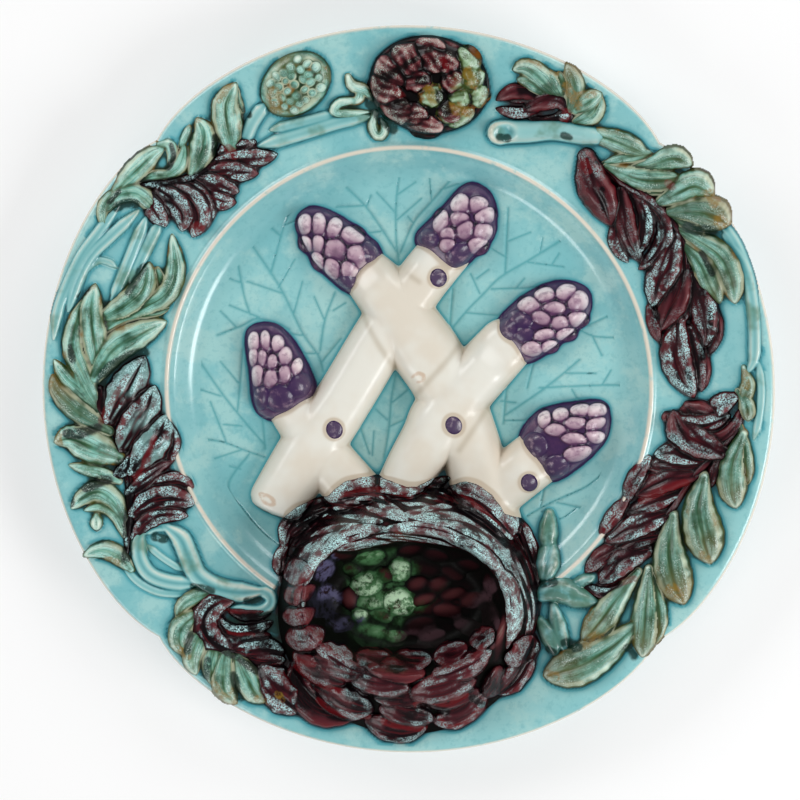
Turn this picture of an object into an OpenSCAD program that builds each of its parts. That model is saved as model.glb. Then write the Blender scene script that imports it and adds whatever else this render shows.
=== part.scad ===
// Asparagus plate with a sauce cup, in glazed earthenware. Millimetres, +Z up.
// Origin: the middle of the plate, on the plane that its foot ring stands on.
// Relief is drawn in plan as a width and a few points along each lobe.

/* [Plate] */
// Radius of the rim at its widest
plate_r = 122.5; // [115:0.5:130]
// Depth of the four cusps in the outline
cusp_depth = 4; // [0:0.5:6]
// Thickness of the clay
wall = 4.5; // [4:0.25:5.5]
// Height of the rim's outer edge
rim_z = 21.5; // [20:0.5:24]
// Height of the well's floor
floor_z = 7; // [7:0.5:8]
// Radius of the flat floor of the well
floor_r = 71; // [70:0.5:72]
// Radius of the raised bead round the well
bead_r = 81.2; // [81:0.1:81.5]
// Width of the bead
bead_w = 3.2; // [2:0.2:4]
// Height of the bead over the shoulder
bead_h = 1.3; // [0.8:0.1:2]

/* [Foot] */
// Outer radius of the foot ring
foot_r = 66; // [60:0.5:67]
// Width of the foot ring
foot_w = 4; // [3:0.5:5]

/* [Sauce cup] */
// Height of the cup's crest over the table
crest_z = 33; // [30:0.5:36]
// Height of the cup's floor
cup_floor_z = 15.5; // [15:0.5:18]

/* [Asparagus] */
// Height of a stalk over the well's floor
stalk_h = 8; // [7:0.5:10]
// Height of a tip over the well's floor
tip_h = 8.5; // [7:0.5:10]
// Height of one scale of a tip
scale_h = 1.9; // [1:0.1:3]

/* [Leaves] */
// Height of a leaf lobe as a share of its width
leaf_rise = 0.48; // [0.3:0.01:0.6]
// Depth that the relief is bedded in the body
sink = 0.4; // [0.2:0.1:0.8]

/* [Hidden] */
$fn = 96;

turquoise = [0.45, 0.74, 0.76];
leaf_green = [0.33, 0.46, 0.37];
aubergine = [0.30, 0.10, 0.14];
ivory = [0.88, 0.86, 0.80];
violet = [0.55, 0.40, 0.52];

cusps = 4;
cusp_at = 45;
cusp_spread = 13;
shoulder_r = 80;
shoulder_z = floor_z + 6.5;
foot_z = floor_z - wall;
bead_from = -56;
bead_sweep = 284;
outline_steps = 180;
scale_share = 0.42;
lobe_rings = 6;

// Heights of the upper face by radius
PROFILE = [[0, floor_z], [floor_r, floor_z], [floor_r + 3, floor_z + 0.9],
    [floor_r + 6, floor_z + 4], [shoulder_r, shoulder_z], [shoulder_r + 3, shoulder_z],
    [100, shoulder_z + 2.6], [plate_r - 4, rim_z - 0.6], [plate_r + 4, rim_z]];

// Ellipses of the sauce cup: middle and half sizes of its foot, crest and floor
CUP_FOOT = [[-0.5, -75], [43.5, 41]];
CUP_CREST = [[0, -69], [34.5, 25]];
CUP_FLOOR = [[-0.5, -71.5], [24, 14]];
CUP_MID = [0, -71];

// Plan places of the well's relief and of the cup's crest, against where they are drawn
WELL_AT = [-0.8, -1.7];
CREST_AT = [-0.6, 1.6];

function unit(v) = v / max(norm(v), 0.0001);
function flat_angle(p) = atan2(p.y, p.x);
function moved(points, by) = [for (p = points) p + by];

// Depth of a cusp's shoulder at an angle from it, sharp at 0
function cusp(a) = exp(-abs(a) / (cusp_spread / 2.2));
function from_cusp(a) = (a - cusp_at + 720 + 45) % 90 - 45;
function outline_r(a) = plate_r - cusp_depth * cusp(from_cusp(a));

// Distance from the cup's middle to one of its ellipses, along a direction
function reach(e, d) = let (
        s = [1 / e[1].x, 1 / e[1].y],
        o = [(CUP_MID.x - e[0].x) * s.x, (CUP_MID.y - e[0].y) * s.y],
        v = [d.x * s.x, d.y * s.y],
        a = v * v, b = 2 * (o * v), c = o * o - 1)
    (-b + sqrt(b * b - 4 * a * c)) / (2 * a);

function ground(p) = lookup(norm(p), PROFILE);

// Height of the cup's skin: up its outer slope, then down into the hollow
function cup_skin(p) = let (
        d = unit(p - CUP_MID), q = norm(p - CUP_MID),
        foot = reach(CUP_FOOT, d), crest = reach(CUP_CREST, d), low = reach(CUP_FLOOR, d),
        out = (q - crest) / (foot - crest), in = (q - low) / (crest - low))
    q > foot ? ground(p)
    : q > crest ? crest_z - (crest_z - 3 - ground(p)) * pow(out, 1.6) - 3 * out
    : q > low ? cup_floor_z + (crest_z - cup_floor_z) * pow(in, 1.5)
    : cup_floor_z;

// Point along a smooth curve through hand-placed points, t from 0 to 1
function along(p, t) = let (
        n = len(p) - 1, s = min(max(t, 0) * n, n - 0.0001), i = floor(s), f = s - i,
        a = p[max(i - 1, 0)], b = p[i], c = p[i + 1], d = p[min(i + 2, n)])
    0.5 * (2 * b + (c - a) * f + (2 * a - 5 * b + 4 * c - d) * f * f
        + (3 * b - a - 3 * c + d) * f * f * f);
function heading(p, t) = unit(along(p, t + 0.02) - along(p, t - 0.02));

// Share of the full width along a leaf lobe and along a stem
function leaf_swell(t) = t < 0.55 ? 0.6 + 0.4 * sin(90 * t / 0.55)
    : sqrt(max(0.06, 1 - pow((t - 0.55) / 0.46, 2)));
function stem_swell(t) = t < 0.1 || t > 0.9 ? 0.75 : 1;

// Outline of half a lobe across its length: [across, up], both as shares
RIDGE = [[1, 0], [0.78, 0.66], [0, 1], [-0.78, 0.66], [-1, 0]];
ROUND = [[1, 0], [0.9, 0.45], [0.6, 0.8], [0, 1], [-0.6, 0.8], [-0.9, 0.45], [-1, 0]];

// Solid skinned over rings of equal counts, closed at both ends
module skin(rings) {
    n = len(rings[0]);
    m = len(rings);
    polyhedron(
        points = [for (r = rings) each r],
        faces = concat(
            [for (i = [1:n - 2]) [0, i, i + 1]],
            [for (k = [0:m - 2]) for (i = [0:n - 1]) let (j = (i + 1) % n)
                each [[k * n + i, (k + 1) * n + i, (k + 1) * n + j],
                    [k * n + i, (k + 1) * n + j, k * n + j]]],
            [for (i = [1:n - 2]) let (z = (m - 1) * n) [z, z + i + 1, z + i]]));
}

// A lobe bedded on the body, w wide and h high, along points in plan
module lobe(w, h, points, stem = false, section = RIDGE, steps = lobe_rings, on_cup = false, bed = sink) {
    skin([for (k = [0:steps]) let (
            t = k / steps, s = stem ? stem_swell(t) : leaf_swell(t),
            c = along(points, t), d = heading(points, t), side = [-d.y, d.x])
        [for (q = section) let (
                p = c + side * q.x * s * w / 2,
                z = on_cup ? cup_skin(p) : ground(p))
            [p.x, p.y, z + (q.y == 0 ? -bed : q.y * h * (0.4 + 0.6 * s))]]]);
}

module leaves(list, rise = leaf_rise, on_cup = false) {
    for (l = list) lobe(l[0], max(2, l[0] * rise), l[1], on_cup = on_cup);
}

module stems(list, rise = 0.5) {
    for (l = list) lobe(l[0], l[0] * rise, l[1], stem = true, steps = 2 * len(l[1]));
}

// A low dome over an outline in plan
module mound(outline, h) {
    n = len(outline);
    mid = [for (i = [0:n - 1]) 1] * outline / n;
    skin([for (q = [[0.99, -1], [1, 0.3], [0.84, 0.74], [0.5, 0.96]])
        [for (i = [n - 1:-1:0]) let (p = mid + (outline[i] - mid) * q[0])
            [p.x, p.y, ground(p) + (q[1] < 0 ? -sink : q[1] * h)]]]);
}

// A small domed scale, with half sizes a and b, turned, bedded at height z
module pebble(c, a, b, turn, z, h) {
    n = 7;
    skin([for (q = [[1, -0.8], [0.92, 0.1], [0.5, 0.85]])
        [for (i = [n - 1:-1:0]) let (t = i * 360 / n,
                v = [a * q[0] * cos(t), b * q[0] * sin(t)])
            [c.x + v.x * cos(turn) - v.y * sin(turn),
             c.y + v.x * sin(turn) + v.y * cos(turn), z + q[1] * h]]]);
}

module plate_body() {
    color(turquoise) intersection() {
        rotate_extrude() polygon(concat(
            [for (p = PROFILE) p],
            [[plate_r + 4, rim_z - wall], [100, shoulder_z + 2.6 - wall],
             [shoulder_r + 1, shoulder_z - wall], [foot_r + 3, foot_z + 0.6],
             [foot_r + 1, foot_z], [0, foot_z]]));
        linear_extrude(rim_z + 10)
            polygon([for (i = [0:outline_steps - 1]) let (a = i * 360 / outline_steps)
                outline_r(a) * [cos(a), sin(a)]]);
    }
}

module foot_ring() {
    color(turquoise) rotate_extrude()
        polygon([[foot_r - foot_w, 0.6], [foot_r - foot_w + 0.6, 0], [foot_r - 0.6, 0],
            [foot_r, 0.6], [foot_r, foot_z], [foot_r - foot_w, foot_z]]);
}

module well_bead() {
    color(ivory) rotate([0, 0, bead_from]) rotate_extrude(angle = bead_sweep)
        polygon([for (i = [0:8]) let (a = i * 22.5)
            [bead_r + bead_w / 2 * cos(a), shoulder_z + bead_h * sin(a)]]);
}

// Ring of the cup at a share of the way from one ellipse to another
function cup_ring(e, f, s) = [for (i = [27:-1:0]) let (
        d = [cos(i * 360 / 28), sin(i * 360 / 28)])
    CUP_MID + d * (reach(e, d) * (1 - s) + reach(f, d) * s)];
function raised(ring, z) = [for (p = ring) [p.x, p.y, z]];
function laid(ring) = [for (p = ring) [p.x, p.y, ground(p) - sink]];
function skinned(ring) = [for (p = ring) [p.x, p.y, cup_skin(p)]];

module sauce_cup() {
    color(aubergine) skin(concat(
        [laid(cup_ring(CUP_FLOOR, CUP_CREST, 0.4))],
        [laid(cup_ring(CUP_CREST, CUP_FOOT, 0.2))],
        [laid(cup_ring(CUP_CREST, CUP_FOOT, 0.65))],
        [for (s = [0.97, 0.7, 0.4, 0.15]) skinned(cup_ring(CUP_CREST, CUP_FOOT, s))],
        [for (s = [0.95, 0.7, 0.4, 0.15]) skinned(cup_ring(CUP_FLOOR, CUP_CREST, s))]));
}

// Bracts round the cup's outer slope, tips along it
OUTER_BRACTS = [
    [8, [[-29, -41], [-36, -45], [-41, -51]]], [8, [[-33, -49], [-39, -52], [-43, -58]]],
    [7, [[-31, -58], [-38, -62], [-43, -66]]], [6, [[-31, -70], [-36, -71], [-42, -73]]],
    [5, [[-31, -77], [-36, -78], [-42, -79]]], [9, [[-28, -82], [-35, -85], [-41, -87]]],
    [8, [[-37, -91], [-29, -96], [-20, -99]]], [8, [[-17, -97], [-9, -99], [0, -100]]],
    [8, [[2, -102], [12, -99], [23, -98]]], [10, [[-31, -102], [-22, -106], [-12, -108]]],
    [9, [[-35, -99], [-34, -106], [-24, -111]]], [8, [[-13, -113], [-4, -116], [5, -115]]],
    [9, [[-9, -107], [0, -110], [9, -113]]], [8, [[11, -112], [18, -108], [25, -103]]],
    [6, [[30, -94], [29, -100], [26, -104]]], [6, [[33, -91], [38, -90], [41, -85]]],
    [6, [[32, -99], [37, -95], [40, -88]]]];
module cup_outer_bracts() {
    color(aubergine) leaves([for (l = OUTER_BRACTS) [l[0], moved(l[1], CREST_AT)]], on_cup = true);
}

// Long bracts that swirl round the cup's upper side
SWIRL_BRACTS = [
    [5, [[-26, -38], [-18, -35], [-9, -35], [2, -37]]], [5, [[-28, -43], [-18, -41], [-8, -42], [-1, -45]]],
    [5, [[5, -40], [9, -37], [13, -34]]], [6, [[15, -38], [21, -38], [27, -42], [31, -47]]],
    [6, [[2, -44], [18, -46], [29, -54], [36, -66], [39, -79]]]];
CREST_BRACTS = [
    [6, [[-38, -52], [-27, -48], [-14, -47], [-6, -48]]], [5, [[-40, -64], [-34, -58], [-26, -54], [-19, -52.5]]],
    [5, [[-5, -50], [8, -50], [20, -54], [29, -62]]], [5, [[33, -66], [34, -74], [33, -85]]]];
module swirl(list) {
    for (i = [0:len(list) - 1])
        lobe(list[i][0], list[i][0] * 0.4, moved(list[i][1], CREST_AT), on_cup = true,
            steps = 2 * len(list[i][1]), bed = sink * (1 + i % 3));
}
module cup_swirl_bracts() { color(aubergine) swirl(SWIRL_BRACTS); }
module cup_crest_bracts() { color(aubergine) swirl(CREST_BRACTS); }

// Domed scales in the cup's hollow: middle, half sizes
INNER_SCALES = [[-13, -57, 5, 3], [-3, -61, 3, 4], [-14, -66, 5, 4], [-3, -72, 5, 4.5], [-16, -77, 3, 3],
    [-12, -83, 6, 4], [-28, -60, 3.5, 4], [-28, -71, 4, 5], [10, -66, 3, 2.5], [9, -56, 3, 2.5],
    [26, -84, 3, 3], [14, -88, 4, 2], [-23, -88, 3, 2.5], [22, -70, 4, 3], [4, -80, 4, 3], [22, -59, 3, 3]];
module cup_inner_scales() {
    color(leaf_green) for (s = INNER_SCALES)
        pebble([s[0], s[1]], s[2], s[3], 0, cup_skin([s[0], s[1]]) + 0.5, 1.6);
}

CUP_STUBS = [[6, [[47, -45], [47, -53], [46, -63]]], [6, [[45, -70], [52, -68], [62, -71]]],
    [6, [[47, -74], [50, -80], [53, -89]]], [4, [[55, -66], [59, -64.5], [63, -63]]]];
module cup_stubs() {
    color(turquoise) leaves(CUP_STUBS);
}

// Stalks: width, height over the floor, points
STALKS = [
    [18.5, stalk_h + 0.8, [[-17, 41], [-3, 28], [9, 10], [20, -12], [25, -31], [28, -49]]],
    [18.5, stalk_h, [[12, 46], [2, 32], [-10, 15], [-24, -8], [-34, -22], [-46, -43]]],
    [19, stalk_h + 2.2, [[38, 18], [25, 5], [14, -10], [4, -24], [-3, -38]]],
    [17, stalk_h - 0.5, [[47, -20], [40, -27], [30, -36]]],
    [16.5, stalk_h - 0.5, [[-42, -6], [-33, -17], [-22, -29], [-12, -41]]]];
module stalk(i) {
    s = STALKS[i];
    lobe(s[0], s[1], moved(s[2], WELL_AT), stem = true, section = ROUND, steps = 7);
}
module stalk_1() {
    color(ivory) difference() { stalk(0); stalk(2); }
}
module stalk_2() {
    color(ivory) difference() { stalk(1); stalk(0); }
}
module stalk_3() {
    color(ivory) stalk(2);
}
module stalk_4() {
    color(ivory) difference() { stalk(3); stalk(0); }
}
module stalk_5() {
    color(ivory) difference() { stalk(4); stalk(1); stalk(2); }
}

// Side buds on the stalks: middle and the height of the stalk there
STALK_BUDS = [[10.5, 37.3, 6], [-24.3, -13.5, 6.4], [15.8, -11.5, 8.6], [41, -31, 5.4], [3, 4.5, 8]];
module stalk_buds() {
    color(violet) for (b = STALK_BUDS)
        pebble([b.x, b.y] + WELL_AT, 3.1, 3.1, 0, floor_z + b.z, 1.8);
}

// Outlines of the tips in plan
TIPS = [
    [[-37, 56], [-31, 60], [-20, 55], [-10, 46], [-15, 39], [-20, 33], [-28, 38], [-34, 46]],
    [[4, 52], [10, 58], [20, 68], [28, 64], [29, 52], [24, 46], [16, 40], [7, 47]],
    [[30, 21], [38, 30], [50, 35.5], [60, 33], [60, 24], [50, 14.5], [41, 10], [34, 15]],
    [[39, -16], [44, -8], [56, -5], [66, -5], [67, -15], [60, -24], [50, -30], [43, -24]],
    [[-54, 18], [-47, 21], [-40, 17], [-33, 5], [-33, -2], [-42, -9], [-51, -8], [-53, 5]]];
// Scales of each tip: middle and size along and across
TIP_SCALES = [
    [[-34.5, 54.5, 5, 6], [-29.5, 54.5, 4.5, 6.5], [-24.5, 53.5, 4.5, 6], [-18.5, 51, 7, 5], [-34, 48, 4.5, 5],
     [-29.7, 48.3, 4, 6], [-24, 46.5, 7, 7], [-17, 44, 6, 7], [-12.5, 46, 4, 6], [-30, 42.5, 4, 6],
     [-25, 40.5, 5, 7], [-19, 39, 6, 8]],
    [[18, 61.5, 6, 6], [23.5, 61.5, 6, 5], [11.5, 55.5, 5, 7], [17.5, 57, 6, 5], [26, 58, 6, 5], [13.5, 52, 5, 5],
     [19.5, 53.5, 6, 6], [25, 52.5, 6, 6], [7.5, 50.5, 6, 4], [13.5, 48.5, 5, 5], [19.5, 48, 7, 6], [17, 43.5, 7, 6]],
    [[41, 28, 7, 5], [46, 31.5, 6, 4.5], [53, 32.5, 6, 4.5], [57, 29.5, 6, 6], [49, 27.5, 7, 4.5], [45, 24.5, 7, 4.5],
     [51, 22.5, 6, 5], [57, 23.5, 6, 5], [38, 23, 7, 4], [35, 20, 6, 6], [39, 18.5, 5, 4], [46, 18.5, 7, 4],
     [53, 18.5, 6, 4.5], [42, 14, 6, 5], [47.5, 14, 5, 4.5]],
    [[46, -10, 4, 5], [51.5, -8.5, 5, 4], [58, -6.8, 6, 3.5], [63.5, -7, 6, 4], [50, -13, 7, 4], [56, -10.8, 7, 4],
     [63, -11.3, 6, 4], [56, -16, 8, 4], [63, -15.5, 6, 4], [57, -21, 8, 4], [43, -18.5, 6, 7], [50, -25, 7, 7]],
    [[-51.3, 15, 4, 6], [-47.5, 15.5, 3.5, 6], [-43.5, 14.7, 4, 5], [-51.5, 10.3, 3.4, 6], [-48.6, 10, 3.5, 6],
     [-45.2, 9, 3.8, 5], [-41, 10.5, 4.3, 6], [-37.3, 7, 3.5, 5], [-50.2, 4.5, 4, 7], [-45.7, 2.5, 5, 6],
     [-41, 4, 4.5, 7], [-36.2, 2, 5, 7], [-49, -3, 3.6, 6], [-43.5, -3.8, 7, 7]]];
module tip(i) {
    color(violet) difference() { mound(moved(TIPS[i], WELL_AT), tip_h); stalk(i); }
}
function middle(outline) = [for (p = outline) 1] * outline / len(outline);
// Height of a tip's dome at a point
function dome(i, p) = let (r = norm(p - middle(TIPS[i])) / 17) tip_h * (1.02 - 0.62 * r * r);
module tip_scales(i) {
    color(violet) for (s = TIP_SCALES[i])
        pebble([s[0], s[1]] + WELL_AT, s[2] * scale_share, s[3] * scale_share, 0,
            floor_z + dome(i, [s[0], s[1]]) - 0.6, scale_h);
}

UPPER_LEFT_GREEN = [
    [10, [[-95, 67], [-86, 78], [-80, 83.5], [-77.5, 79]]], [5, [[-88, 70], [-80, 72], [-77, 76], [-75, 82]]],
    [9, [[-74, 72], [-70, 80], [-70.5, 90]]], [11, [[-61, 76], [-60, 90], [-56.5, 102]]]];
UPPER_LEFT_ARCH = [[5, [[-104, 53], [-101, 61], [-96, 65], [-90, 65], [-86, 61], [-83, 56]]]];
UPPER_LEFT_DARK = [
    [3, [[-58, 78], [-54, 80], [-51, 82]]], [5, [[-63, 76], [-54, 77.5], [-44, 76.5]]],
    [5, [[-64, 73], [-56, 72], [-48, 72]]], [5, [[-69, 69], [-63, 67], [-57, 66]]],
    [6, [[-72, 68], [-64, 65], [-57, 63]]], [6, [[-79, 66], [-70, 61], [-65.5, 54]]],
    [7, [[-82, 65], [-75, 60], [-72, 54], [-74, 49.5]]], [6, [[-87, 62], [-84, 57], [-81, 53]]]];
UPPER_LEFT_RIB = [[3.5, [[-91, 68], [-80, 68.5], [-70, 71], [-62, 74.5], [-55, 80]]]];
module upper_left_green() {
    color(leaf_green) union() { leaves(UPPER_LEFT_GREEN); stems(UPPER_LEFT_ARCH); }
}
module upper_left_dark() { color(aubergine) leaves(UPPER_LEFT_DARK); }
module upper_left_midrib() { color(aubergine) stems(UPPER_LEFT_RIB, 1.1); }

LEFT_GREEN = [
    [6, [[-97, 24], [-87, 28.5], [-80, 34], [-78, 42], [-79, 50.5]]], [7, [[-100, 24], [-92, 30], [-87, 35], [-87, 41]]],
    [4, [[-105, 13], [-98, 20], [-90, 24.5], [-82, 25]]], [8, [[-104, 3], [-99, 12], [-92, 17], [-82, 21]]],
    [8, [[-104, 10], [-105, 22], [-105, 34]]], [6, [[-106, -2], [-112, 8], [-113, 18], [-109, 27]]],
    [5, [[-104, -8], [-110, 0], [-116, 8]]], [6, [[-100, -15], [-110, -9], [-116, -3], [-118.5, 3]]],
    [9, [[-98, -24], [-107, -20], [-114, -18], [-117, -21]]], [4, [[-97, -32], [-104, -28], [-112, -27]]],
    [6, [[-96, -44], [-101, -37], [-107, -36.5], [-112, -40]]], [4, [[-97, -50], [-99, -43], [-105, -40], [-110, -41]]],
    [5, [[-94, -58], [-99, -54.5], [-103, -54.5], [-106, -57]]]];
LEFT_DARK = [
    [11, [[-100, -10], [-96, -2], [-92, 4], [-88.5, 9.5]]], [8, [[-96, -16], [-90, -9], [-86, -3]]],
    [10, [[-91, -26], [-86, -19], [-82.5, -12]]], [3, [[-90, -35], [-84, -29], [-80, -26.5]]],
    [4, [[-90, -36], [-83, -33.5], [-73, -35]]], [7, [[-92, -42], [-84, -38.5], [-78, -38], [-72, -40]]],
    [3, [[-88, -42], [-82, -43.5], [-75, -44]]]];
LEFT_RIB = [[3, [[-93, -56], [-94.5, -48], [-94, -40], [-93, -30], [-95, -20], [-99, -12], [-103, -4]]]];
LEFT_STEMS = [
    [5, [[-89, 60], [-100, 50], [-108, 42], [-114, 30], [-117, 20]]], [5, [[-84, 56], [-92, 42], [-99, 27]]],
    [4, [[-105, 54], [-112, 40], [-116, 20], [-117, 8]]], [2.4, [[-110, 36], [-106, 41], [-101, 42], [-98, 40.5]]]];
module left_green() { color(leaf_green) leaves(LEFT_GREEN); }
module left_dark() { color(aubergine) leaves(LEFT_DARK); }
module left_midrib() { color(aubergine) stems(LEFT_RIB, 1.1); }
module left_stems() { color(turquoise) stems(LEFT_STEMS, 0.4); }

LOWER_LEFT_GREEN = [
    [4, [[-66, -70.5], [-73, -72.5], [-77.5, -77]]], [5, [[-69, -76], [-75, -80], [-76.5, -87]]],
    [5, [[-67, -83], [-71, -89], [-72, -95]]], [5, [[-62, -88], [-65, -94], [-65.5, -99.5]]],
    [6, [[-60, -92], [-61.5, -99], [-58, -104.5]]], [6, [[-57, -92], [-54.5, -99], [-48, -104.5]]]];
LOWER_LEFT_DARK = [
    [8, [[-60, -70], [-68, -75], [-67, -83], [-58, -88]]], [4, [[-64, -73], [-65, -79], [-60, -82.5], [-53, -80], [-46, -79.5]]],
    [3, [[-58, -86], [-50, -84], [-46, -80]]], [5, [[-56, -90], [-49, -89], [-42, -89]]],
    [8, [[-49, -94], [-44, -99], [-41, -104], [-38, -108.5]]]];
LOWER_LEFT_LOOPS = [
    [3, [[-97, -58], [-90, -65], [-84, -68.5], [-76, -69], [-70, -68]]],
    [4.5, [[-88, -50], [-91, -55], [-90, -61], [-85, -65.5], [-77, -67]]], [2.4, [[-86, -55], [-81, -59], [-77, -62]]],
    [7.5, [[-80, -47], [-76, -55], [-72, -62], [-66, -66], [-56, -67.5], [-48, -68.5]]],
    [4, [[-49, -68.5], [-46, -71], [-47, -74], [-52, -75.5], [-60, -73.5]]]];
module lower_left_green() { color(leaf_green) leaves(LOWER_LEFT_GREEN); }
module lower_left_dark() { color(aubergine) leaves(LOWER_LEFT_DARK); }
module lower_left_loop() { color(turquoise) stems(LOWER_LEFT_LOOPS, 0.45); }

oval_at = [-37.5, 101];
oval_size = [12.5, 9.5];
oval_turn = 40;
function turned(v, a) = [v.x * cos(a) - v.y * sin(a), v.x * sin(a) + v.y * cos(a)];
function oval(c, s, a, n) = [for (i = [0:n - 1]) let (t = i * 360 / n)
    c + turned([s.x * cos(t), s.y * sin(t)], a)];
module oval_bud() {
    color(leaf_green) mound(oval(oval_at, oval_size, oval_turn, 14), 4.5);
}
module oval_bud_scales() {
    color(leaf_green) for (i = [-2:2]) for (j = [-1:1])
        pebble(oval_at + turned([i * 4 + (j == 0 ? 1 : 0), j * 4], oval_turn), 1.8, 1.7, oval_turn,
            ground(oval_at) + 4.1 - 0.35 * (abs(i) + abs(j)), 1.4);
}
TOP_STEMS = [[4.5, [[-48, 94], [-53, 86], [-55, 82]]], [4.5, [[-50, 80], [-35, 84.5], [-22, 88.5], [-14, 90]]]];
BUD_SEPALS = [[2.4, [[-20, 103], [-19, 100.5], [-14, 98], [-12.5, 95]]],
    [2.4, [[-17, 95], [-23, 94.5], [-24.5, 91.5], [-19, 91], [-12, 91.5]]],
    [2.6, [[-11, 91], [-12, 87], [-10, 83.5], [-8, 86], [-9.5, 90]]]];
module top_stems() { color(turquoise) stems(TOP_STEMS, 0.55); }
module bud_sepals() { color(leaf_green) stems(BUD_SEPALS, 0.8); }

bud_at = [7.5, 100.5];
bud_size = [19.5, 15.8];
// Scales of the large bud: middle, half sizes, turn, height over its skin
BUD_SCALES = [[-7, 104, 3.8, 3.8, 0, 3.2], [-8, 96, 3.8, 3.8, 0, 3.2], [0, 91.5, 4, 3.6, 0, 4.6], [-0.5, 99.5, 3.9, 3.9, 0, 6.6],
    [0.5, 107.5, 3.8, 3.8, 0, 5.2], [7, 112.5, 4, 3.4, 0, 3.4], [8, 104.5, 4, 3.9, 0, 7.4], [8, 96.5, 4, 3.9, 0, 7.4],
    [8, 89, 4, 3.4, 0, 4], [15.5, 109.5, 4, 3.6, 0, 4.6], [16.2, 101.6, 4, 3.9, 0, 6.8], [16, 93.6, 4, 3.8, 0, 5.4],
    [23.2, 105, 3, 3.7, 0, 3], [23.5, 97, 3, 3.7, 0, 3]];
module artichoke_bud() { color(aubergine) mound(oval(bud_at, bud_size, -8, 18), 8); }
module artichoke_scales() {
    color(aubergine) for (s = BUD_SCALES)
        pebble([s[0], s[1]], s[2], s[3], s[4], ground([s[0], s[1]]) + s[5], 2.4);
}

UPPER_RIGHT_GREEN = [[7, [[49, 99], [44, 105.5], [38, 106.5], [35, 105]]], [6, [[53, 94], [54, 100], [52, 107]]],
    [7, [[54, 92], [60, 95], [64.5, 98.5]]]];
UPPER_RIGHT_DARK = [[5, [[50, 95], [40, 98], [31, 97]]], [4, [[50, 92], [44, 93.5], [38.5, 92]]],
    [3, [[48, 89.5], [39, 90.5], [30, 93]]], [4, [[51, 90], [52.5, 92], [54, 94]]]];
CUT_STEM = [[7.5, [[64, 88], [50, 86], [40, 85.5], [28, 84]]]];
module upper_right_green() { color(leaf_green) leaves(UPPER_RIGHT_GREEN); }
module upper_right_dark() { color(aubergine) leaves(UPPER_RIGHT_DARK); }
module cut_stem() { color(turquoise) stems(CUT_STEM, 0.6); }

RIGHT_GREEN = [
    [6, [[60, 87], [70, 84], [80, 80]]], [7, [[65, 76], [75, 78], [85, 78.5], [92, 76]]],
    [8, [[66, 74], [75, 72], [84, 69], [90, 70]]], [8, [[90, 65], [95, 69], [99.5, 66.5], [102.5, 61.5]]],
    [8, [[88, 60], [97, 58], [106.5, 55]]], [10, [[90, 53], [99, 46], [105, 38], [107, 30]]],
    [3, [[93, 48], [98, 41], [102, 33]]]];
RIGHT_DARK = [
    [11, [[60, 75], [62, 68], [65.5, 61], [66, 54.5]]], [11, [[72, 66], [74.5, 57], [75, 50], [74, 43]]],
    [5, [[78, 64], [84, 58], [85, 52], [80, 43], [77, 40]]], [8, [[90, 51], [86, 44], [83, 36], [80.5, 28]]],
    [8, [[93, 37], [90, 31], [86, 24], [84, 20.5]]], [3, [[80, 26], [83, 21], [84, 16]]],
    [8, [[94, 38], [98, 30], [100, 22], [99.5, 13]]], [8, [[90, 20], [88.5, 12], [90, 5], [94, -1]]],
    [5, [[93, 20], [95, 12], [96.5, 5], [98, -1]]]];
RIGHT_RIB = [[3.5, [[60, 77], [72, 68], [80, 63], [86, 57], [90, 50], [93, 40], [94, 30], [93, 22]]]];
RIM_STEM = [[4.5, [[105, 52], [112, 42], [115, 28], [115.5, 12], [113, 6]]],
    [3, [[117, 10], [118, 0], [117, -10], [115.5, -16]]]];
module right_green() { color(leaf_green) leaves(RIGHT_GREEN); }
module right_dark() { color(aubergine) leaves(RIGHT_DARK); }
module right_midrib() { color(aubergine) stems(RIGHT_RIB, 1.1); }
module rim_stem() { color(turquoise) stems(RIM_STEM, 0.45); }

LOWER_RIGHT_GREEN = [
    [9, [[109, -16], [109, -25], [109, -33], [108, -38]]], [4, [[112, -14], [113.5, -21], [114, -27]]],
    [11, [[95, -31], [96, -41], [98, -50], [99.5, -56]]], [11, [[86, -43], [86, -54], [88.5, -63], [91.5, -70]]],
    [5, [[80, -60], [82, -70], [83, -79]]], [8, [[77, -64], [77, -74], [78, -82], [77, -88]]],
    [8, [[77, -62], [70, -72], [64, -79], [58.5, -84]]], [11, [[74, -80], [66, -88], [56, -93.5], [47, -95.5]]],
    [4, [[112, 6], [114, 0], [113, -5]]]];
LOWER_RIGHT_DARK = [
    [5, [[108, -2], [102, -5], [94, -6]]], [3, [[93, -6], [96, -12], [102, -15.5], [108, -13], [112, -8]]],
    [8, [[106, -19], [98, -17], [91, -13], [88, -8]]], [5, [[98, -23], [90, -21], [81.5, -22.5]]],
    [4, [[100, -26], [90, -24.5], [81, -25]]], [6, [[95, -28.5], [86, -30], [77, -35]]],
    [4, [[90, -34], [82, -38], [73, -41]]], [7, [[86, -42], [77, -45], [66.5, -51]]],
    [8, [[79, -55], [72, -57], [65, -65]]], [4, [[70, -38], [67, -44], [64, -49.5]]],
    [4, [[69, -53], [64, -56], [60, -60]]]];
LOWER_RIGHT_RIB = [[3, [[115, 0], [112, -8], [108, -15], [100, -23], [94, -32], [88, -40], [82, -48], [78, -57]]]];
module lower_right_green() { color(leaf_green) leaves(LOWER_RIGHT_GREEN); }
module lower_right_dark() { color(aubergine) leaves(LOWER_RIGHT_DARK); }
module lower_right_midrib() { color(aubergine) stems(LOWER_RIGHT_RIB, 1.1); }

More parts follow.
